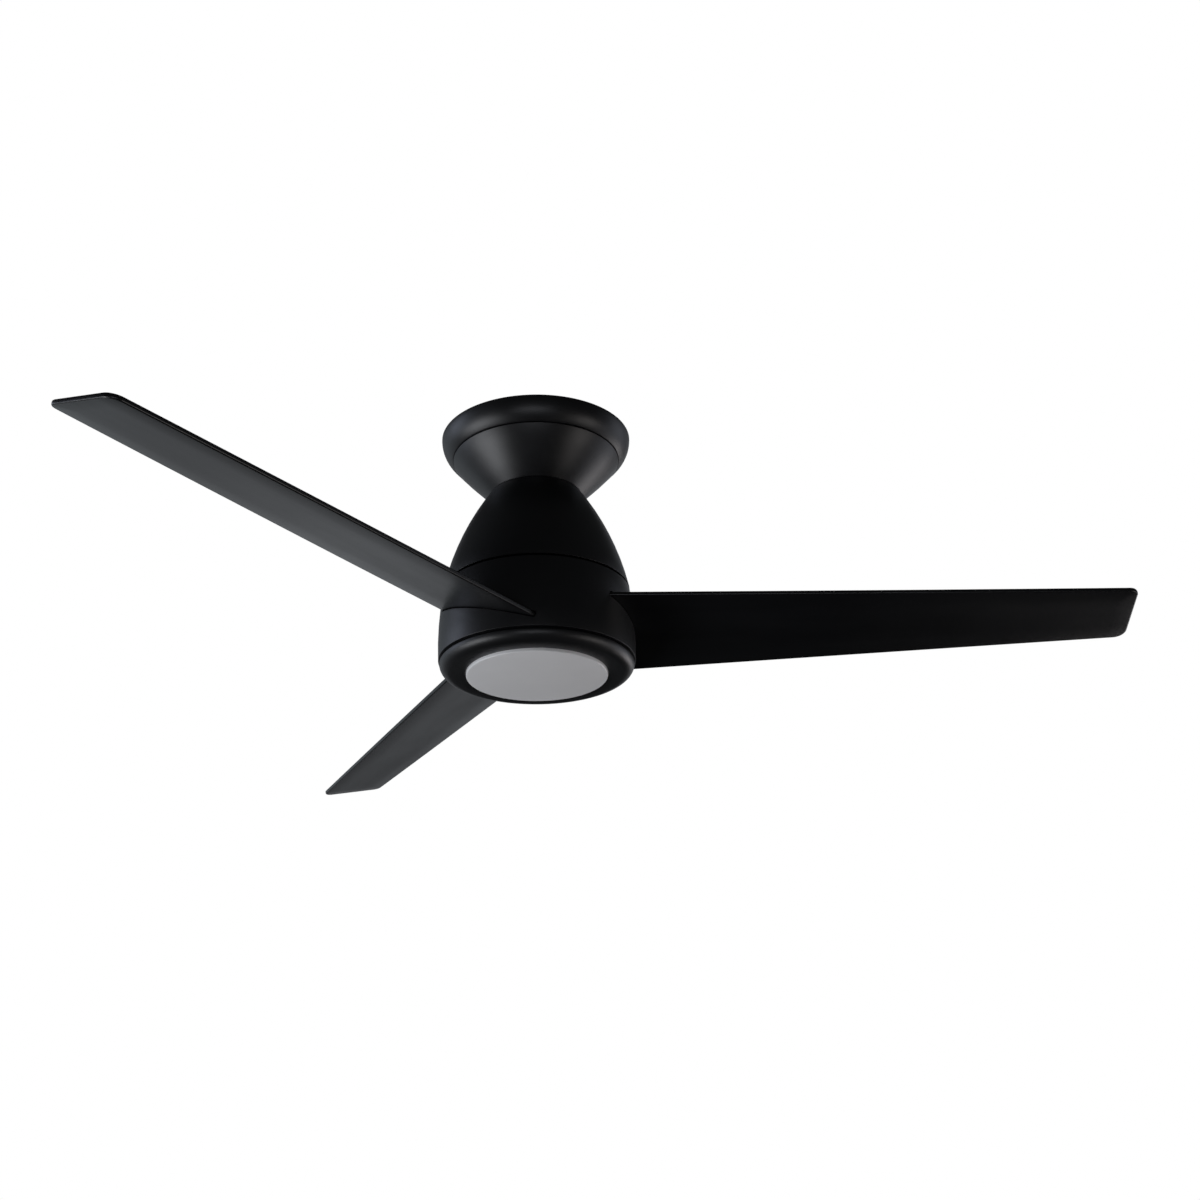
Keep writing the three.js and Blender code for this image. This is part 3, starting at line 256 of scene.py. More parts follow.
# Rubbed edges, broken up by a fine noise.
def buildEdgeRub():
    group, given, out = newGroup(
        "edgeRub", {"Vector": None, "Start": 0.54, "Width": 0.08, "Amount": 1.0}, ["Mask"])
    shape = put(group, "ShaderNodeNewGeometry")
    reach = put(group, "ShaderNodeMath", operation="ADD")
    ramp = put(group, "ShaderNodeMapRange")
    chips = put(group, "ShaderNodeTexNoise", Scale=groupLook["chipScale"], Detail=3.0)
    both = put(group, "ShaderNodeMath", operation="MULTIPLY")
    scaled = put(group, "ShaderNodeMath", operation="MULTIPLY")
    wire(group, given.outputs["Start"], reach.inputs[0])
    wire(group, given.outputs["Width"], reach.inputs[1])
    wire(group, shape.outputs["Pointiness"], ramp.inputs["Value"])
    wire(group, given.outputs["Start"], ramp.inputs["From Min"])
    wire(group, reach.outputs[0], ramp.inputs["From Max"])
    wire(group, given.outputs["Vector"], chips.inputs["Vector"])
    wire(group, ramp.outputs[0], both.inputs[0])
    wire(group, chips.outputs[0], both.inputs[1])
    wire(group, both.outputs[0], scaled.inputs[0])
    wire(group, given.outputs["Amount"], scaled.inputs[1])
    wire(group, scaled.outputs[0], out.inputs["Mask"])
    return group


# Even fine lines along one axis, as in a stack of sheets, a winding or a turned face.
def buildFineLines():
    group, given, out = newGroup(
        "fineLines", {"Vector": None, "Lines": 2000.0, "Waver": 0.3}, ["Height"])
    wave = put(group, "ShaderNodeTexWave", wave_type="BANDS", bands_direction="Z", Detail=2.0)
    wire(group, given.outputs["Vector"], wave.inputs["Vector"])
    wire(group, given.outputs["Lines"], wave.inputs["Scale"])
    wire(group, given.outputs["Waver"], wave.inputs["Distortion"])
    wire(group, wave.outputs["Fac"], out.inputs["Height"])
    return group


shared = {
    "skinGrain": buildSkinGrain(),
    "dustFall": buildDustFall(),
    "edgeRub": buildEdgeRub(),
    "fineLines": buildFineLines(),
}


def useGroup(tree, name, vector, **values):
    node = put(tree, "ShaderNodeGroup", node_tree=shared[name])
    for key, value in values.items():
        node.inputs[key].default_value = value
    wire(tree, vector, node.inputs["Vector"])
    return node


def startMaterial(name, vectorKind="Object", **shader):
    material = bpy.data.materials.new(name)
    material.use_nodes = True
    tree = material.node_tree
    surface = tree.nodes["Principled BSDF"]
    for key, value in shader.items():
        surface.inputs[key.replace("_", " ")].default_value = value
    place = put(tree, "ShaderNodeTexCoord")
    return material, tree, surface, place.outputs[vectorKind]


def mixColours(tree, factor, first, second):
    # first and second are each a colour or a socket
    mix = put(tree, "ShaderNodeMix", data_type="RGBA")
    wire(tree, factor, mix.inputs[0])
    for socket, colour in ((mix.inputs[6], first), (mix.inputs[7], second)):
        if isinstance(colour, tuple):
            socket.default_value = (*colour, 1)
        else:
            wire(tree, colour, socket)
    return mix.outputs[2]


def rampValue(tree, source, low, high):
    ramp = put(tree, "ShaderNodeMapRange")
    ramp.inputs["To Min"].default_value, ramp.inputs["To Max"].default_value = low, high
    wire(tree, source, ramp.inputs["Value"])
    return ramp.outputs[0]


def raiseBump(tree, surface, height, strength, distance, under=None):
    bump = put(tree, "ShaderNodeBump", Strength=strength, Distance=distance)
    wire(tree, height, bump.inputs["Height"])
    if under is not None:
        wire(tree, under, bump.inputs["Normal"])
    wire(tree, bump.outputs[0], surface.inputs["Normal"])
    return bump.outputs[0]


# Skin of any coated, cast or moulded part: two tones, a roughness range, grain, and dust or rub.
def skinMaterial(name, look):
    material, tree, surface, vector = startMaterial(name, **look.get("shader", {}))
    grain = useGroup(tree, "skinGrain", vector, **look["grain"])
    colour = mixColours(tree, grain.outputs["Tone"], look["dark"], look["light"])
    if "rub" in look:
        rub = useGroup(tree, "edgeRub", vector, **look["rub"])
        colour = mixColours(tree, rub.outputs[0], colour, look["rubbed"])
    if "dust" in look:
        dust = useGroup(tree, "dustFall", vector, **look["dust"])
        colour = mixColours(tree, dust.outputs[0], colour, look["dusty"])
    wire(tree, colour, surface.inputs["Base Color"])
    rough = rampValue(tree, grain.outputs["Tone"], *look["rough"])
    wire(tree, rough, surface.inputs["Roughness"])
    normal = raiseBump(tree, surface, grain.outputs["Height"], look["bump"], look["depth"])
    if "lines" in look:
        lines = useGroup(tree, "fineLines", vector, **look["lines"])
        raiseBump(tree, surface, lines.outputs[0], look["lineBump"], look["depth"], normal)
    return material


looks = {
    "satinBlackCoat": {
        "dark": (0.0055, 0.0057, 0.0064), "light": (0.0085, 0.0088, 0.0098),
        "rough": (0.37, 0.43), "bump": 0.22, "depth": 0.00012,
        "grain": {"Grain": 1500.0, "Patch": 11.0, "Coarse": 0.5},
        "rub": {"Start": 0.56, "Width": 0.1, "Amount": 0.25}, "rubbed": (0.020, 0.021, 0.023),
        "shader": {"Specular_IOR_Level": 0.5},
    },
    "opalDiffuser": {
        "dark": (0.88, 0.88, 0.882), "light": (0.92, 0.92, 0.92),
        "rough": (0.40, 0.46), "bump": 0.12, "depth": 0.00006,
        "grain": {"Grain": 2600.0, "Patch": 9.0, "Coarse": 0.2},
        "shader": {"Subsurface_Weight": 0.25, "Subsurface_Radius": (0.004, 0.004, 0.004),
                   "Subsurface_Scale": 1.0, "Coat_Weight": 0.3, "Coat_Roughness": 0.2},
    },
    "zincPlate": {
        "dark": (0.40, 0.41, 0.40), "light": (0.56, 0.56, 0.53),
        "rough": (0.30, 0.48), "bump": 0.25, "depth": 0.00008,
        "grain": {"Grain": 420.0, "Patch": 75.0, "Coarse": 0.8},
        "rub": {"Start": 0.53, "Width": 0.08, "Amount": 0.7}, "rubbed": (0.70, 0.70, 0.69),
        "dust": {"Amount": 0.22, "Clumps": 70.0}, "dusty": (0.33, 0.31, 0.28),
        "shader": {"Metallic": 0.95},
    },
    "turnedSteel": {
        "dark": (0.46, 0.47, 0.48), "light": (0.58, 0.59, 0.60),
        "rough": (0.20, 0.34), "bump": 0.12, "depth": 0.00005,
        "grain": {"Grain": 1100.0, "Patch": 40.0, "Coarse": 0.3},
        "lines": {"Lines": 900.0, "Waver": 0.6}, "lineBump": 0.2,
        "rub": {"Start": 0.53, "Width": 0.08, "Amount": 0.6}, "rubbed": (0.75, 0.75, 0.76),
        "shader": {"Metallic": 1.0},
    },
    "blackenedSteel": {
        "dark": (0.020, 0.020, 0.023), "light": (0.034, 0.034, 0.038),
        "rough": (0.30, 0.42), "bump": 0.15, "depth": 0.00005,
        "grain": {"Grain": 1000.0, "Patch": 60.0, "Coarse": 0.4},
        "rub": {"Start": 0.54, "Width": 0.08, "Amount": 0.4}, "rubbed": (0.22, 0.22, 0.23),
        "shader": {"Metallic": 0.9},
    },
    "castAluminium": {
        "dark": (0.42, 0.43, 0.44), "light": (0.54, 0.55, 0.56),
        "rough": (0.42, 0.60), "bump": 0.5, "depth": 0.0002,
        "grain": {"Grain": 520.0, "Patch": 28.0, "Coarse": 0.6},
        "rub": {"Start": 0.53, "Width": 0.08, "Amount": 0.6}, "rubbed": (0.70, 0.71, 0.72),
        "dust": {"Amount": 0.18, "Clumps": 60.0}, "dusty": (0.30, 0.29, 0.27),
        "shader": {"Metallic": 0.9},
    },
    "laminations": {
        "dark": (0.10, 0.105, 0.115), "light": (0.17, 0.175, 0.185),
        "rough": (0.38, 0.52), "bump": 0.2, "depth": 0.0002,
        "grain": {"Grain": 700.0, "Patch": 50.0, "Coarse": 0.3},
        "lines": {"Lines": 320.0, "Waver": 0.1}, "lineBump": 0.9,
        "shader": {"Metallic": 0.8},
    },
    "enamelledCopper": {
        "dark": (0.36, 0.11, 0.035), "light": (0.56, 0.20, 0.07),
        "rough": (0.25, 0.40), "bump": 0.2, "depth": 0.0003,
        "grain": {"Grain": 600.0, "Patch": 120.0, "Coarse": 0.3},
        "lines": {"Lines": 260.0, "Waver": 0.9}, "lineBump": 1.0,
        "shader": {"Metallic": 0.85, "Coat_Weight": 0.4},
    },
    "ferrite": {
        "dark": (0.022, 0.022, 0.024), "light": (0.045, 0.044, 0.046),
        "rough": (0.55, 0.75), "bump": 0.5, "depth": 0.0002,
        "grain": {"Grain": 900.0, "Patch": 60.0, "Coarse": 0.7},
    },
    "whitePlastic": {
        "dark": (0.66, 0.655, 0.63), "light": (0.74, 0.735, 0.715),
        "rough": (0.42, 0.55), "bump": 0.35, "depth": 0.00012,
        "grain": {"Grain": 1300.0, "Patch": 30.0, "Coarse": 0.5},
        "dust": {"Amount": 0.25, "Clumps": 80.0}, "dusty": (0.42, 0.40, 0.36),
    },
    "greyPlastic": {
        "dark": (0.085, 0.09, 0.097), "light": (0.12, 0.126, 0.134),
        "rough": (0.42, 0.58), "bump": 0.4, "depth": 0.00015,
        "grain": {"Grain": 1200.0, "Patch": 30.0, "Coarse": 0.6},
        "dust": {"Amount": 0.3, "Clumps": 80.0}, "dusty": (0.30, 0.285, 0.26),
    },
    "leadJacket": {
        "dark": (0.20, 0.205, 0.21), "light": (0.27, 0.275, 0.28),
        "rough": (0.42, 0.55), "bump": 0.25, "depth": 0.0001,
        "grain": {"Grain": 1500.0, "Patch": 90.0, "Coarse": 0.3},
        "dust": {"Amount": 0.3, "Clumps": 120.0}, "dusty": (0.30, 0.285, 0.26),
        "shader": {"Sheen_Weight": 0.1},
    },
}
finishes = {name: skinMaterial(name, look) for name, look in looks.items()}


bladeSkin = {
    "dark": (0.0042, 0.0044, 0.0050), "light": (0.0070, 0.0073, 0.0082),
    "rough": (0.27, 0.34), "bump": 0.2, "depth": 0.0001,
    "grain": {"Grain": 1300.0, "Patch": 7.0, "Coarse": 0.5},
    "flow": {"Grain": 160.0, "Patch": 22.0, "Coarse": 0.0},
    "flowStretch": (0.12, 1.0, 1.0), "flowShare": 0.6, "flowBump": 0.03, "flowDepth": 0.0004,
    "dust": {"Amount": 0.12, "Clumps": 70.0}, "dusty": (0.20, 0.195, 0.185),
}


# Moulded blade: a satin black skin whose flow marks run along the blade, on the blade's own map.
def bladeMaterial():
    look = bladeSkin
    material, tree, surface, vector = startMaterial("mouldedBladeSkin", "UV")
    stretch = put(tree, "ShaderNodeMapping", Scale=look["flowStretch"])
    wire(tree, vector, stretch.inputs["Vector"])
    grain = useGroup(tree, "skinGrain", vector, **look["grain"])
    flow = useGroup(tree, "skinGrain", stretch.outputs[0], **look["flow"])
    dust = useGroup(tree, "dustFall", vector, **look["dust"])
    tone = put(tree, "ShaderNodeMix", data_type="FLOAT")
    tone.inputs[0].default_value = look["flowShare"]
    wire(tree, grain.outputs["Tone"], tone.inputs[2])
    wire(tree, flow.outputs["Tone"], tone.inputs[3])
    colour = mixColours(tree, tone.outputs[0], look["dark"], look["light"])
    colour = mixColours(tree, dust.outputs[0], colour, look["dusty"])
    wire(tree, colour, surface.inputs["Base Color"])
    rough = rampValue(tree, tone.outputs[0], *look["rough"])
    wire(tree, rough, surface.inputs["Roughness"])
    under = raiseBump(tree, surface, flow.outputs["Height"], look["flowBump"], look["flowDepth"])
    raiseBump(tree, surface, grain.outputs["Height"], look["bump"], look["depth"], under)
    return material


finishes["mouldedBladeSkin"] = bladeMaterial()

# The finish of each material slot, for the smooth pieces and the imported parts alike.
slotFinishes = {
    "black_coat": "satinBlackCoat", "blade_black": "mouldedBladeSkin", "opal": "opalDiffuser",
    # black_steel and black_aluminium give the screws, motor shell and cover, blade hub and light
    # pan seen through the seams a black finish: partly their guessed own finish, partly painted
    # shade that keeps the seams between the parts dark.
    "zinc_plate": "zincPlate", "steel": "turnedSteel", "black_steel": "blackenedSteel",
    "cast_aluminium": "castAluminium", "black_aluminium": "satinBlackCoat",
    "lamination": "laminations", "copper": "enamelledCopper", "ferrite": "ferrite",
    "white_plastic": "whitePlastic", "grey_plastic": "greyPlastic", "board_white": "whitePlastic",
    "lead_grey": "leadJacket",
}
print("finishes made:", len(finishes))


# Shape helpers.

shaping = {
    "facets": 144,                      # sides of a turned piece
    "arcStep": math.radians(3),         # length of a step along an arc of an outline
    "arcSteps": (3, 24),                # fewest and most steps of one arc
    "weld": 1e-6,
    "softAngle": math.radians(35),      # turned edges over this are rounded
    "softSegments": 3,
    "creaseAngle": math.radians(32),    # edges over this stay sharp in the shading
    "holeSides": 24,
}


# Draws an outline in the XZ plane. Each corner is (radius, height), or (radius, height, curve)
# where the way to it is an arc of that radius, hollow side towards the axis.
def drawOutline(bm, corners, closed=True):
    fewest, most = shaping["arcSteps"]
    first = bm.verts.new((corners[0][0], 0, corners[0][1]))
    last = first
    for corner in corners[1:]:
        end = Vector((corner[0], 0, corner[1]))
        if len(corner) == 2:
            made = bmesh.ops.extrude_vert_indiv(bm, verts=[last])["verts"][0]
            made.co = end
        else:
            start = last.co.copy()
            chord = end - start
            side = Vector((abs(chord.z), 0, chord.x if chord.z < 0 else -chord.x)).normalized()
            depth = math.sqrt(corner[2] ** 2 - (chord.length / 2) ** 2)
            centre = (start + end) / 2 - side * depth
            swept = (start - centre).angle(end - centre)
            if (start - centre).cross(end - centre).y < 0:
                swept = -swept
            wanted = min(round(abs(swept) / shaping["arcStep"]), round(chord.length / mm))
            steps = max(fewest, min(most, wanted))
            spun = bmesh.ops.spin(bm, geom=[last], cent=centre, axis=(0, 1, 0), angle=swept,
                                  steps=steps, use_duplicate=False)
            made = next(g for g in spun["geom_last"] if isinstance(g, bmesh.types.BMVert))
            made.co = end
        last = made
    if closed:
        bm.edges.new((last, first))


def sharpEdges(bm, least):
    return [e for e in bm.edges if e.is_manifold and e.calc_face_angle(0) > least]


# Turns an outline round the axis into a closed solid and rounds its sharp edges.
def turnOutline(corners, softness, closed=True, squeeze=None):
    bm = bmesh.new()
    drawOutline(bm, corners, closed)
    if squeeze:           # flattens what lies below a level, as the bezel's round is flattened
        level, share = squeeze
        for vert in bm.verts:
            vert.co.z = level + (vert.co.z - level) * (share if vert.co.z < level else 1)
    bmesh.ops.spin(bm, geom=bm.verts[:] + bm.edges[:], cent=(0, 0, 0), axis=(0, 0, 1),
                   angle=2 * math.pi, steps=shaping["facets"], use_merge=True)
    bmesh.ops.remove_doubles(bm, verts=bm.verts[:], dist=shaping["weld"])
    bmesh.ops.recalc_face_normals(bm, faces=bm.faces[:])
    bmesh.ops.bevel(bm, geom=sharpEdges(bm, shaping["softAngle"]), offset=softness,
                    segments=shaping["softSegments"], profile=0.5, affect="EDGES",
                    clamp_overlap=True, material=-1)
    return bm


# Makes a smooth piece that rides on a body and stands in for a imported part.
def finishPiece(bm, name, body, slotName, replaced):
    mesh = bpy.data.meshes.new(name)
    bm.to_mesh(mesh)
    bm.free()
    mesh.shade_smooth()
    mesh.set_sharp_from_angle(angle=shaping["creaseAngle"])
    mesh.materials.append(finishes[slotFinishes[slotName]])
    piece = bpy.data.objects.new(name, mesh)
    scene.collection.objects.link(piece)
    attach(piece, body)
    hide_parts(replaced)


# Cuts the shapes of other bmeshes out of a bmesh, or joins them to it, and gives back the result.
def carve(bm, cutters, operation="DIFFERENCE"):
    def asObject(shape, name):
        mesh = bpy.data.meshes.new(name)
        shape.to_mesh(mesh)
        shape.free()
        made = bpy.data.objects.new(name, mesh)
        scene.collection.objects.link(made)
        return made
    blank = asObject(bm, "blank")
    tools = [asObject(cutter, "tool") for cutter in cutters]
    for tool in tools:
        cut = blank.modifiers.new("cut", "BOOLEAN")
        cut.operation, cut.solver, cut.object = operation, "EXACT", tool
    result = bmesh.new()
    result.from_object(blank, bpy.context.evaluated_depsgraph_get())
    for used in (blank, *tools):
        data = used.data
        bpy.data.objects.remove(used)
        bpy.data.meshes.remove(data)
    return result


# An upright round bar, as a post or as the cutter of a screw hole.
def uprightBar(radius, low, high, x, y):
    bm = bmesh.new()
    place = Matrix.Translation((x, y, (low + high) / 2))
    bmesh.ops.create_cone(bm, cap_ends=True, segments=shaping["holeSides"], radius1=radius,
                          radius2=radius, depth=high - low, matrix=place)
    return bm


# Places that stand evenly round the axis.
def roundTheAxis(count, radius, start=0.0):
    angles = [2 * math.pi * index / count + start for index in range(count)]
    return [(radius * math.cos(angle), radius * math.sin(angle)) for angle in angles]


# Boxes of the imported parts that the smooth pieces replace.
trimLow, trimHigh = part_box("trim_ring")
cupLow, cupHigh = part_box("canopy")
domeLow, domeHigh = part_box("dome_housing")
bandLow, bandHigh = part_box("rotor_band")
bezelLow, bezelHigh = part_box("light_bezel")
lensLow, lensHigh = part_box("diffuser")

# Canopy: trim ring and cup.
canopyLook = {
    "trimWall": 2.0 * mm, "trimCurve": 32 * mm, "lipRadius": 98.3 * mm, "lipInset": 0.6 * mm,
    "boreGap": 0.5 * mm, "groove": 1.5 * mm, "coneRadius": 97.9 * mm, "coneCurve": 500 * mm,
    "shoulder": 2.9 * mm, "wall": 1.8 * mm, "insideDrop": 3.5 * mm,
    "neck": 54.0 * mm, "neckBore": 50.3 * mm,
    "softness": 0.35 * mm, "screwRadius": 1.9 * mm, "screwDrop": 11.7 * mm, "holeReach": 4 * mm,
}


def makeTrimRing():
    c = canopyLook
    outer, lip = trimHigh.x, trimLow.z
    bore = c["coneRadius"] - c["shoulder"] + c["boreGap"]
    curve = c["trimCurve"]
    corners = [
        (outer, 0),
        (c["lipRadius"], lip, curve),
        (bore, lip),
        (bore, lip + c["trimWall"]),
        (c["lipRadius"] - c["lipInset"], lip + c["trimWall"]),
        (outer - c["trimWall"], 0, curve - c["trimWall"]),
    ]
    bm = turnOutline(corners, c["softness"])
    finishPiece(bm, "trimRing", "housing", "black_coat", "trim_ring")


def makeCanopyCup():
    c = canopyLook
    wall, neck = c["wall"], cupLow.z
    outside = c["coneRadius"] - c["shoulder"]
    coneTop = trimLow.z - c["groove"]
    corners = [
        (outside, 0),
        (outside, coneTop),
        (c["coneRadius"], coneTop),
        (c["neck"], neck, c["coneCurve"]),
        (c["neckBore"], neck),
        (c["neckBore"], neck + wall),
        (c["neck"] - wall / 2, neck + wall),
        (outside - wall, coneTop - c["insideDrop"], c["coneCurve"]),
        (outside - wall, 0),
    ]
    bm = turnOutline(corners, c["softness"])
    holes = []
    for side in (1, -1):
        hole = uprightBar(c["screwRadius"], -c["holeReach"], c["holeReach"], 0, 0)
        turn = Matrix.Rotation(math.pi / 2, 4, "Y")
        move = Matrix.Translation((side * (outside - wall / 2), 0, -c["screwDrop"]))
        bmesh.ops.transform(hole, matrix=move @ turn, verts=hole.verts[:])
        holes.append(hole)
    bm = carve(bm, holes)
    finishPiece(bm, "canopyCup", "housing", "black_coat", "canopy")


makeTrimRing()
makeCanopyCup()
print("canopy made")


# Motor dome.
domeLook = {
    "neck": 54.0 * mm, "curve": 330 * mm, "wall": 1.8 * mm, "topHole": 35.6 * mm,
    "softness": 0.35 * mm, "screws": 3, "screwRadius": 1.9 * mm, "screwCircle": 44.8 * mm,
    "holeReach": (4 * mm, 2 * mm),    # below and above the top
}


def makeDome():
    d = domeLook
    top, rim, wall = domeHigh.z, domeLow.z, d["wall"]
    corners = [
        (d["topHole"], top),
        (d["neck"], top),
        (domeHigh.x, rim, d["curve"]),
        (domeHigh.x - wall, rim),
        (d["neck"] - wall, top - wall, d["curve"]),
        (d["topHole"], top - wall),
    ]
    bm = turnOutline(corners, d["softness"])
    below, above = d["holeReach"]
    holes = [uprightBar(d["screwRadius"], top - below, top + above, x, y)
             for x, y in roundTheAxis(d["screws"], d["screwCircle"])]
    bm = carve(bm, holes)
    finishPiece(bm, "domeHousing", "housing", "black_coat", "dome_housing")


makeDome()
print("dome made")


# Blades.
bladeLook = {
    "count": 3, "root": 50 * mm, "tip": packedBox[1].x, "thickness": 5 * mm, "edge": 1.7 * mm,
    "tongue": 30 * mm, "tongueEnd": 62 * mm, "fullWidth": 84 * mm, "twistStart": 100 * mm,
    "rootPitch": 17.2, "tipPitch": 13.6,     # degrees
    "planeRise": 32.2 * mm,                  # height of the blades' middle over the band's rim
    # half widths of the leading and trailing sides, at the twist's start and at the tip
    "leading": (69.0 * mm, 40.5 * mm), "trailing": (66.0 * mm, 46.2 * mm),
    "leadingCorner": 9 * mm, "trailingCorner": 13 * mm,
    "slotGap": 1.2 * mm, "screwAt": 66 * mm, "screwSpread": 14 * mm, "screwRadius": 1.9 * mm,
    "holeReach": 6 * mm,
    "shoulderSteps": 8, "lengthSteps": 28, "widthSteps": 4, "cornerSteps": 10, "edgeSteps": 5,
    "rimAngle": 60,                          # degrees over which an edge belongs to the rim
}
bladePlane = bandLow.z + bladeLook["planeRise"]


# The blade is a narrow tongue inside the band and widens to a straight taper.
def bladeHalfWidth(radius, side):
    b = bladeLook
    rootWidth, tipWidth = b["trailing"] if side > 0 else b["leading"]
    share = (radius - b["twistStart"]) / (b["tip"] - b["twistStart"])
    straight = rootWidth + (tipWidth - rootWidth) * share
    if radius <= b["tongueEnd"]:
        return b["tongue"]
    if radius < b["fullWidth"]:
        part = (radius - b["tongueEnd"]) / (b["fullWidth"] - b["tongueEnd"])
        ease = (1 - math.cos(math.pi * part)) / 2
        return b["tongue"] + (straight - b["tongue"]) * ease
    return straight


def evenSteps(start, end, count):
    return [start + (end - start) * step / count for step in range(count + 1)]


# One blade along +X, or the cutter of its slot when it is grown by the slot's gap.
def shapeBlade(growth=0.0):
    b = bladeLook
    stations = [b["root"] - growth]
    stations += evenSteps(b["tongueEnd"], b["fullWidth"], b["shoulderSteps"])
    stations += evenSteps(b["twistStart"], b["tip"], b["lengthSteps"])
    bm = bmesh.new()
    last = len(stations) - 1
    bmesh.ops.create_grid(bm, x_segments=last, y_segments=b["widthSteps"], size=0.5)
    for vert in bm.verts:
        radius = stations[round((vert.co.x + 0.5) * last)]
        side = 1 if vert.co.y > 0 else -1
        reach = bladeHalfWidth(radius, side) + growth
        vert.co = (radius, 2 * vert.co.y * reach, 0)
    thick = b["thickness"] + 2 * growth
    bmesh.ops.solidify(bm, geom=bm.faces[:], thickness=thick)
    middle = sum(v.co.z for v in bm.verts) / len(bm.verts)
    bmesh.ops.translate(bm, vec=(0, 0, -middle), verts=bm.verts[:])
    bmesh.ops.recalc_face_normals(bm, faces=bm.faces[:])
    for side, corner in ((1, b["trailingCorner"]), (-1, b["leadingCorner"])):
        tipEdges = [e for e in bm.edges if abs(e.verts[0].co.z - e.verts[1].co.z) > thick / 2
                    and min(v.co.x for v in e.verts) > b["tip"] - mm
                    and min(v.co.y * side for v in e.verts) > b["tongue"]]
        bmesh.ops.bevel(bm, geom=tipEdges, offset=corner, segments=b["cornerSteps"], profile=0.5,
                        affect="EDGES", material=-1)
    rim = [e for e in sharpEdges(bm, math.radians(b["rimAngle"]))
           if abs(e.verts[0].co.z - e.verts[1].co.z) < mm]
    bmesh.ops.bevel(bm, geom=rim, offset=b["edge"] + growth / 2, segments=b["edgeSteps"],
                    profile=0.5, affect="EDGES", material=-1)
    bladeMap = bm.loops.layers.uv.new("bladeMap")
    for face in bm.faces:
        for loop in face.loops:
            loop[bladeMap].uv = loop.vert.co.xy
    for vert in bm.verts:
        along = max(0.0, (vert.co.x - b["twistStart"]) / (b["tip"] - b["twistStart"]))
        pitch = b["rootPitch"] + (b["tipPitch"] - b["rootPitch"]) * along
        vert.co = Matrix.Rotation(-math.radians(pitch), 3, "X") @ vert.co
        vert.co.z += bladePlane
    return bm


# Turns a shape from the first blade's place to that of any blade.
def turnedTo(bm, index):
    around = Matrix.Rotation(2 * math.pi * index / bladeLook["count"], 4, "Z")
    bmesh.ops.transform(bm, matrix=around, verts=bm.verts[:])
    return bm


# Cutters of the two screw holes at a blade's root, square to the pitched blade.
def bladeHoles():
    b = bladeLook
    holes = []
    for side in (1, -1):
        hole = uprightBar(b["screwRadius"], -b["holeReach"], b["holeReach"],
                          b["screwAt"], side * b["screwSpread"])
        tilt = Matrix.Rotation(-math.radians(b["rootPitch"]), 4, "X")
        bmesh.ops.transform(hole, matrix=Matrix.Translation((0, 0, bladePlane)) @ tilt,
                            verts=hole.verts[:])
        holes.append(hole)
    return holes


def makeBlades():
    for index in range(bladeLook["count"]):
        bm = turnedTo(carve(shapeBlade(), bladeHoles()), index)
        finishPiece(bm, f"blade{index + 1}", "rotor", "blade_black", f"blade_{index + 1}")


makeBlades()
print("blades made")


# Turning band with a slot for each blade.
bandLook = {
    "belly": 112.2 * mm, "bellyRise": 19.4 * mm, "curve": 430 * mm, "wall": 2.2 * mm,
    "flangeBore": 87.8 * mm, "softness": 0.4 * mm,
    "screws": 3, "screwCircle": 92.3 * mm, "screwRadius": 1.9 * mm,
    "screwTurn": 60,                  # degrees from the first blade
    "holeReach": (5 * mm, 2 * mm),    # below and above the top
}


# Outer radius of the barrelled band at a height.
def bandRadius(level):
    b = bandLook
    off = level - (bandLow.z + b["bellyRise"])
    return b["belly"] - b["curve"] + math.sqrt(b["curve"] ** 2 - off ** 2)


def makeBand():
    b = bandLook
    top, bottom, wall = bandHigh.z, bandLow.z, b["wall"]
    lip = bandRadius(bottom) - 2 * wall
    corners = [
        (b["flangeBore"], top),
        (bandRadius(top), top),
        (bandRadius(bottom), bottom, b["curve"]),
        (lip, bottom),
        (lip, bottom + wall),
        (bandRadius(bottom + wall) - wall, bottom + wall),
        (bandRadius(top - wall) - wall, top - wall, b["curve"]),
        (b["flangeBore"], top - wall),
    ]
    bm = turnOutline(corners, b["softness"])
    tools = [turnedTo(shapeBlade(bladeLook["slotGap"]), i) for i in range(bladeLook["count"])]
    below, above = b["holeReach"]
    for x, y in roundTheAxis(b["screws"], b["screwCircle"], math.radians(b["screwTurn"])):
        tools.append(uprightBar(b["screwRadius"], top - below, top + above, x, y))
    bm = carve(bm, tools)
    finishPiece(bm, "rotorBand", "rotor", "black_coat", "rotor_band")


makeBand()
print("band made")


# Light: bezel and diffuser.
bezelLook = {
    "gap": 3.0 * mm, "roundWidth": 13 * mm, "faceWidth": 16.6 * mm, "wall": 2.0 * mm,
    "collarGap": 2.3 * mm, "softness": 0.5 * mm,
    "posts": 3, "postRadius": 3.4 * mm, "screwRadius": 1.9 * mm,
    "postTurn": 30,       # degrees from +X
}
lensLook = {
    "lip": 3.5 * mm, "lipThick": 2.1 * mm, "wall": 2.2 * mm, "edge": 1.4 * mm, "softness": 0.3 * mm,
}


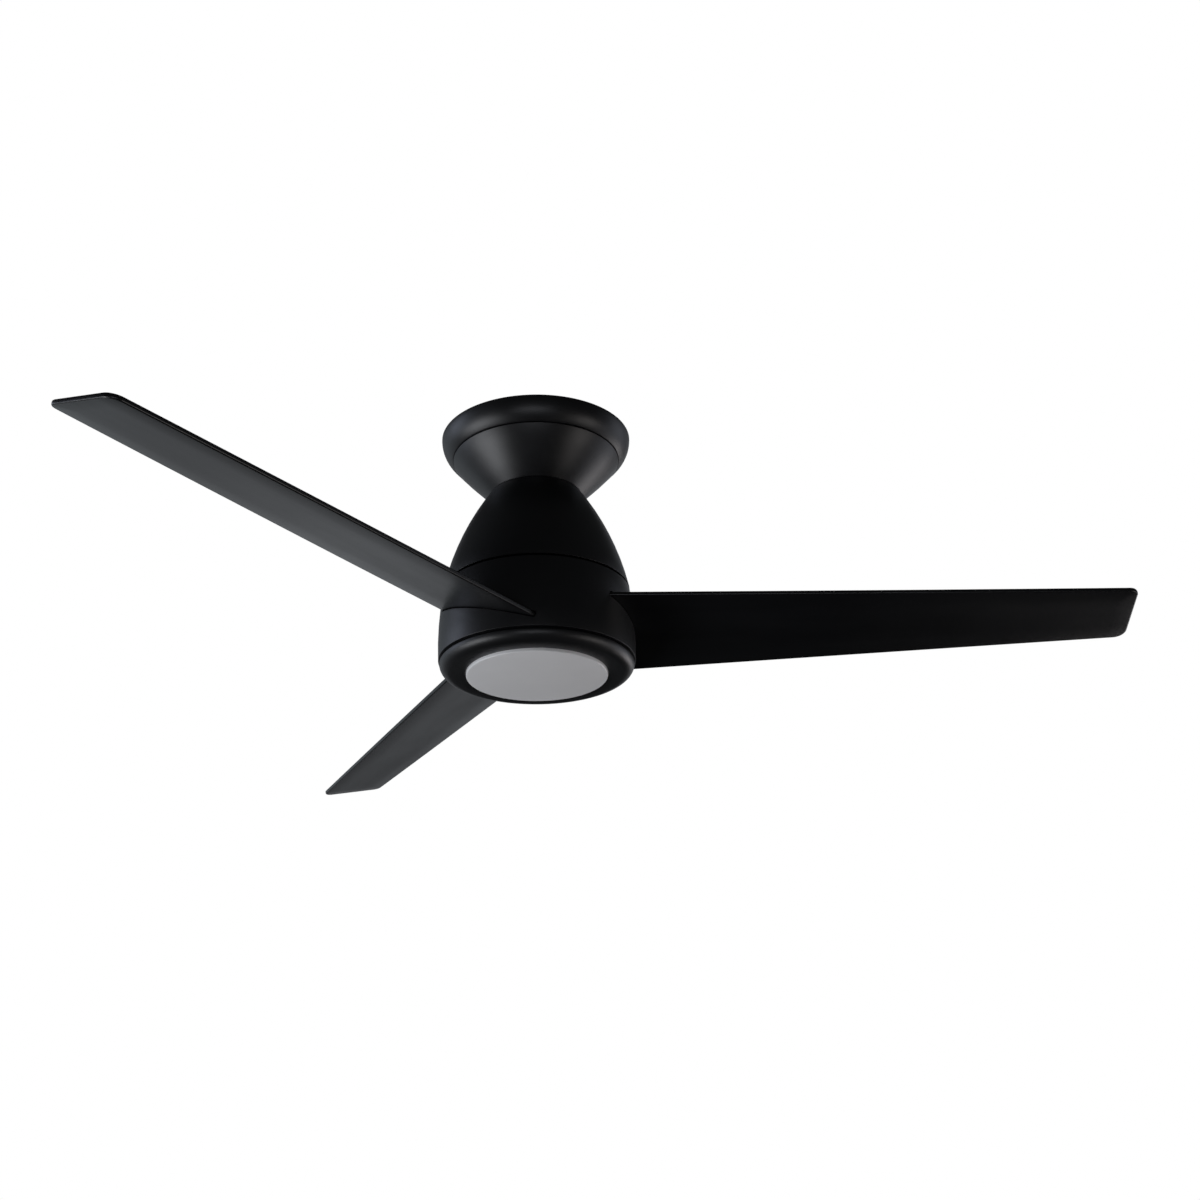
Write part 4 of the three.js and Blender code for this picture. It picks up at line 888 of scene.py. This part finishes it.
def makeBezel():
    b = bezelLook
    top = bandLow.z - b["gap"]
    depth, wall = top - bezelLow.z, b["wall"]
    squeeze = depth / b["roundWidth"]
    bottom, flange = top - b["roundWidth"], top - (depth - wall) / squeeze
    face = bezelHigh.x - b["roundWidth"]
    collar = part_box("light_pan")[1].x - b["collarGap"]
    inner = b["roundWidth"] - wall
    meets = top - math.sqrt(inner ** 2 - (collar - face) ** 2)
    corners = [
        (bezelHigh.x, top),
        (face, bottom, b["roundWidth"]),
        (face - b["faceWidth"], bottom),
        (face - b["faceWidth"], flange),
        (collar - wall, flange),
        (collar - wall, bezelHigh.z),
        (collar, bezelHigh.z),
        (collar, meets),
        (face + inner, top, inner),
    ]
    bm = turnOutline(corners, b["softness"], squeeze=(top, squeeze))
    posts, bores = [], []
    circle = collar - 2 * b["postRadius"]
    for x, y in roundTheAxis(b["posts"], circle, math.radians(b["postTurn"])):
        posts.append(uprightBar(b["postRadius"], bezelLow.z + wall / 2, bezelHigh.z, x, y))
        bores.append(uprightBar(b["screwRadius"], bezelLow.z + 2 * wall, bezelHigh.z + mm, x, y))
    bm = carve(carve(bm, posts, "UNION"), bores)
    finishPiece(bm, "lightBezel", "housing", "black_coat", "light_bezel")


def makeDiffuser():
    d = lensLook
    radius = lensHigh.x - d["lip"]
    face = lensLow.z
    lipLow = lensHigh.z - d["lipThick"]
    corners = [
        (0, face),
        (radius - d["edge"], face),
        (radius, face + d["edge"], d["edge"]),
        (radius, lipLow),
        (radius + d["lip"], lipLow),
        (radius + d["lip"], lensHigh.z),
        (radius - d["wall"], lensHigh.z),
        (radius - d["wall"], face + d["wall"]),
        (0, face + d["wall"]),
    ]
    bm = turnOutline(corners, d["softness"], closed=False)
    finishPiece(bm, "lightDiffuser", "housing", "opal", "diffuser")


makeBezel()
makeDiffuser()
print("light made")


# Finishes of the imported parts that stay.
def finishPackedParts():
    slotOf = {part["node"]: part["material_slot"] for part in frame["record"]["subparts"]}
    for name, node in nodes.items():
        if not node.hide_render:
            for place in node.material_slots:
                place.material = finishes[slotFinishes[slotOf[name]]]


finishPackedParts()
print("packed parts finished")


# Floor.
floorLook = {
    "drop": 3.6, "size": 60, "squares": 8,
    "tone": (0.62, 0.62, 0.61), "lift": 1.04,     # the light tone against the dark one
    "rough": 0.85, "grain": {"Grain": 30.0, "Patch": 0.6},
    "glow": 1.25,
    "bounce": 0.15,       # share of its tone that the fan sees, so that its undersides stay deep
}


def makeFloor():
    f = floorLook
    bm = bmesh.new()
    place = Matrix.Translation((0, 0, -f["drop"]))
    bmesh.ops.create_grid(bm, x_segments=f["squares"], y_segments=f["squares"],
                          size=f["size"] / 2, matrix=place)
    mesh = bpy.data.meshes.new("studioFloor")
    bm.to_mesh(mesh)
    bm.free()
    material, tree, surface, vector = startMaterial("paleFloor", Roughness=f["rough"])
    grain = useGroup(tree, "skinGrain", vector, **f["grain"])
    lighter = tuple(v * f["lift"] for v in f["tone"])
    colour = mixColours(tree, grain.outputs["Tone"], f["tone"], lighter)
    wire(tree, colour, surface.inputs["Base Color"])
    glow = put(tree, "ShaderNodeEmission", Strength=f["glow"])
    wire(tree, colour, glow.inputs["Color"])
    path = put(tree, "ShaderNodeLightPath")
    seen = put(tree, "ShaderNodeAddShader")
    bounced = [v * f["bounce"] for v in f["tone"]]
    matt = put(tree, "ShaderNodeBsdfDiffuse", Color=(*bounced, 1))
    mix = put(tree, "ShaderNodeMixShader")
    wire(tree, path.outputs["Is Camera Ray"], mix.inputs[0])
    wire(tree, surface.outputs[0], seen.inputs[0])
    wire(tree, glow.outputs[0], seen.inputs[1])
    wire(tree, matt.outputs[0], mix.inputs[1])
    wire(tree, seen.outputs[0], mix.inputs[2])
    wire(tree, mix.outputs[0], tree.nodes["Material Output"].inputs["Surface"])
    mesh.materials.append(material)
    floor = bpy.data.objects.new("studioFloor", mesh)
    scene.collection.objects.link(floor)


makeFloor()
print("floor laid")
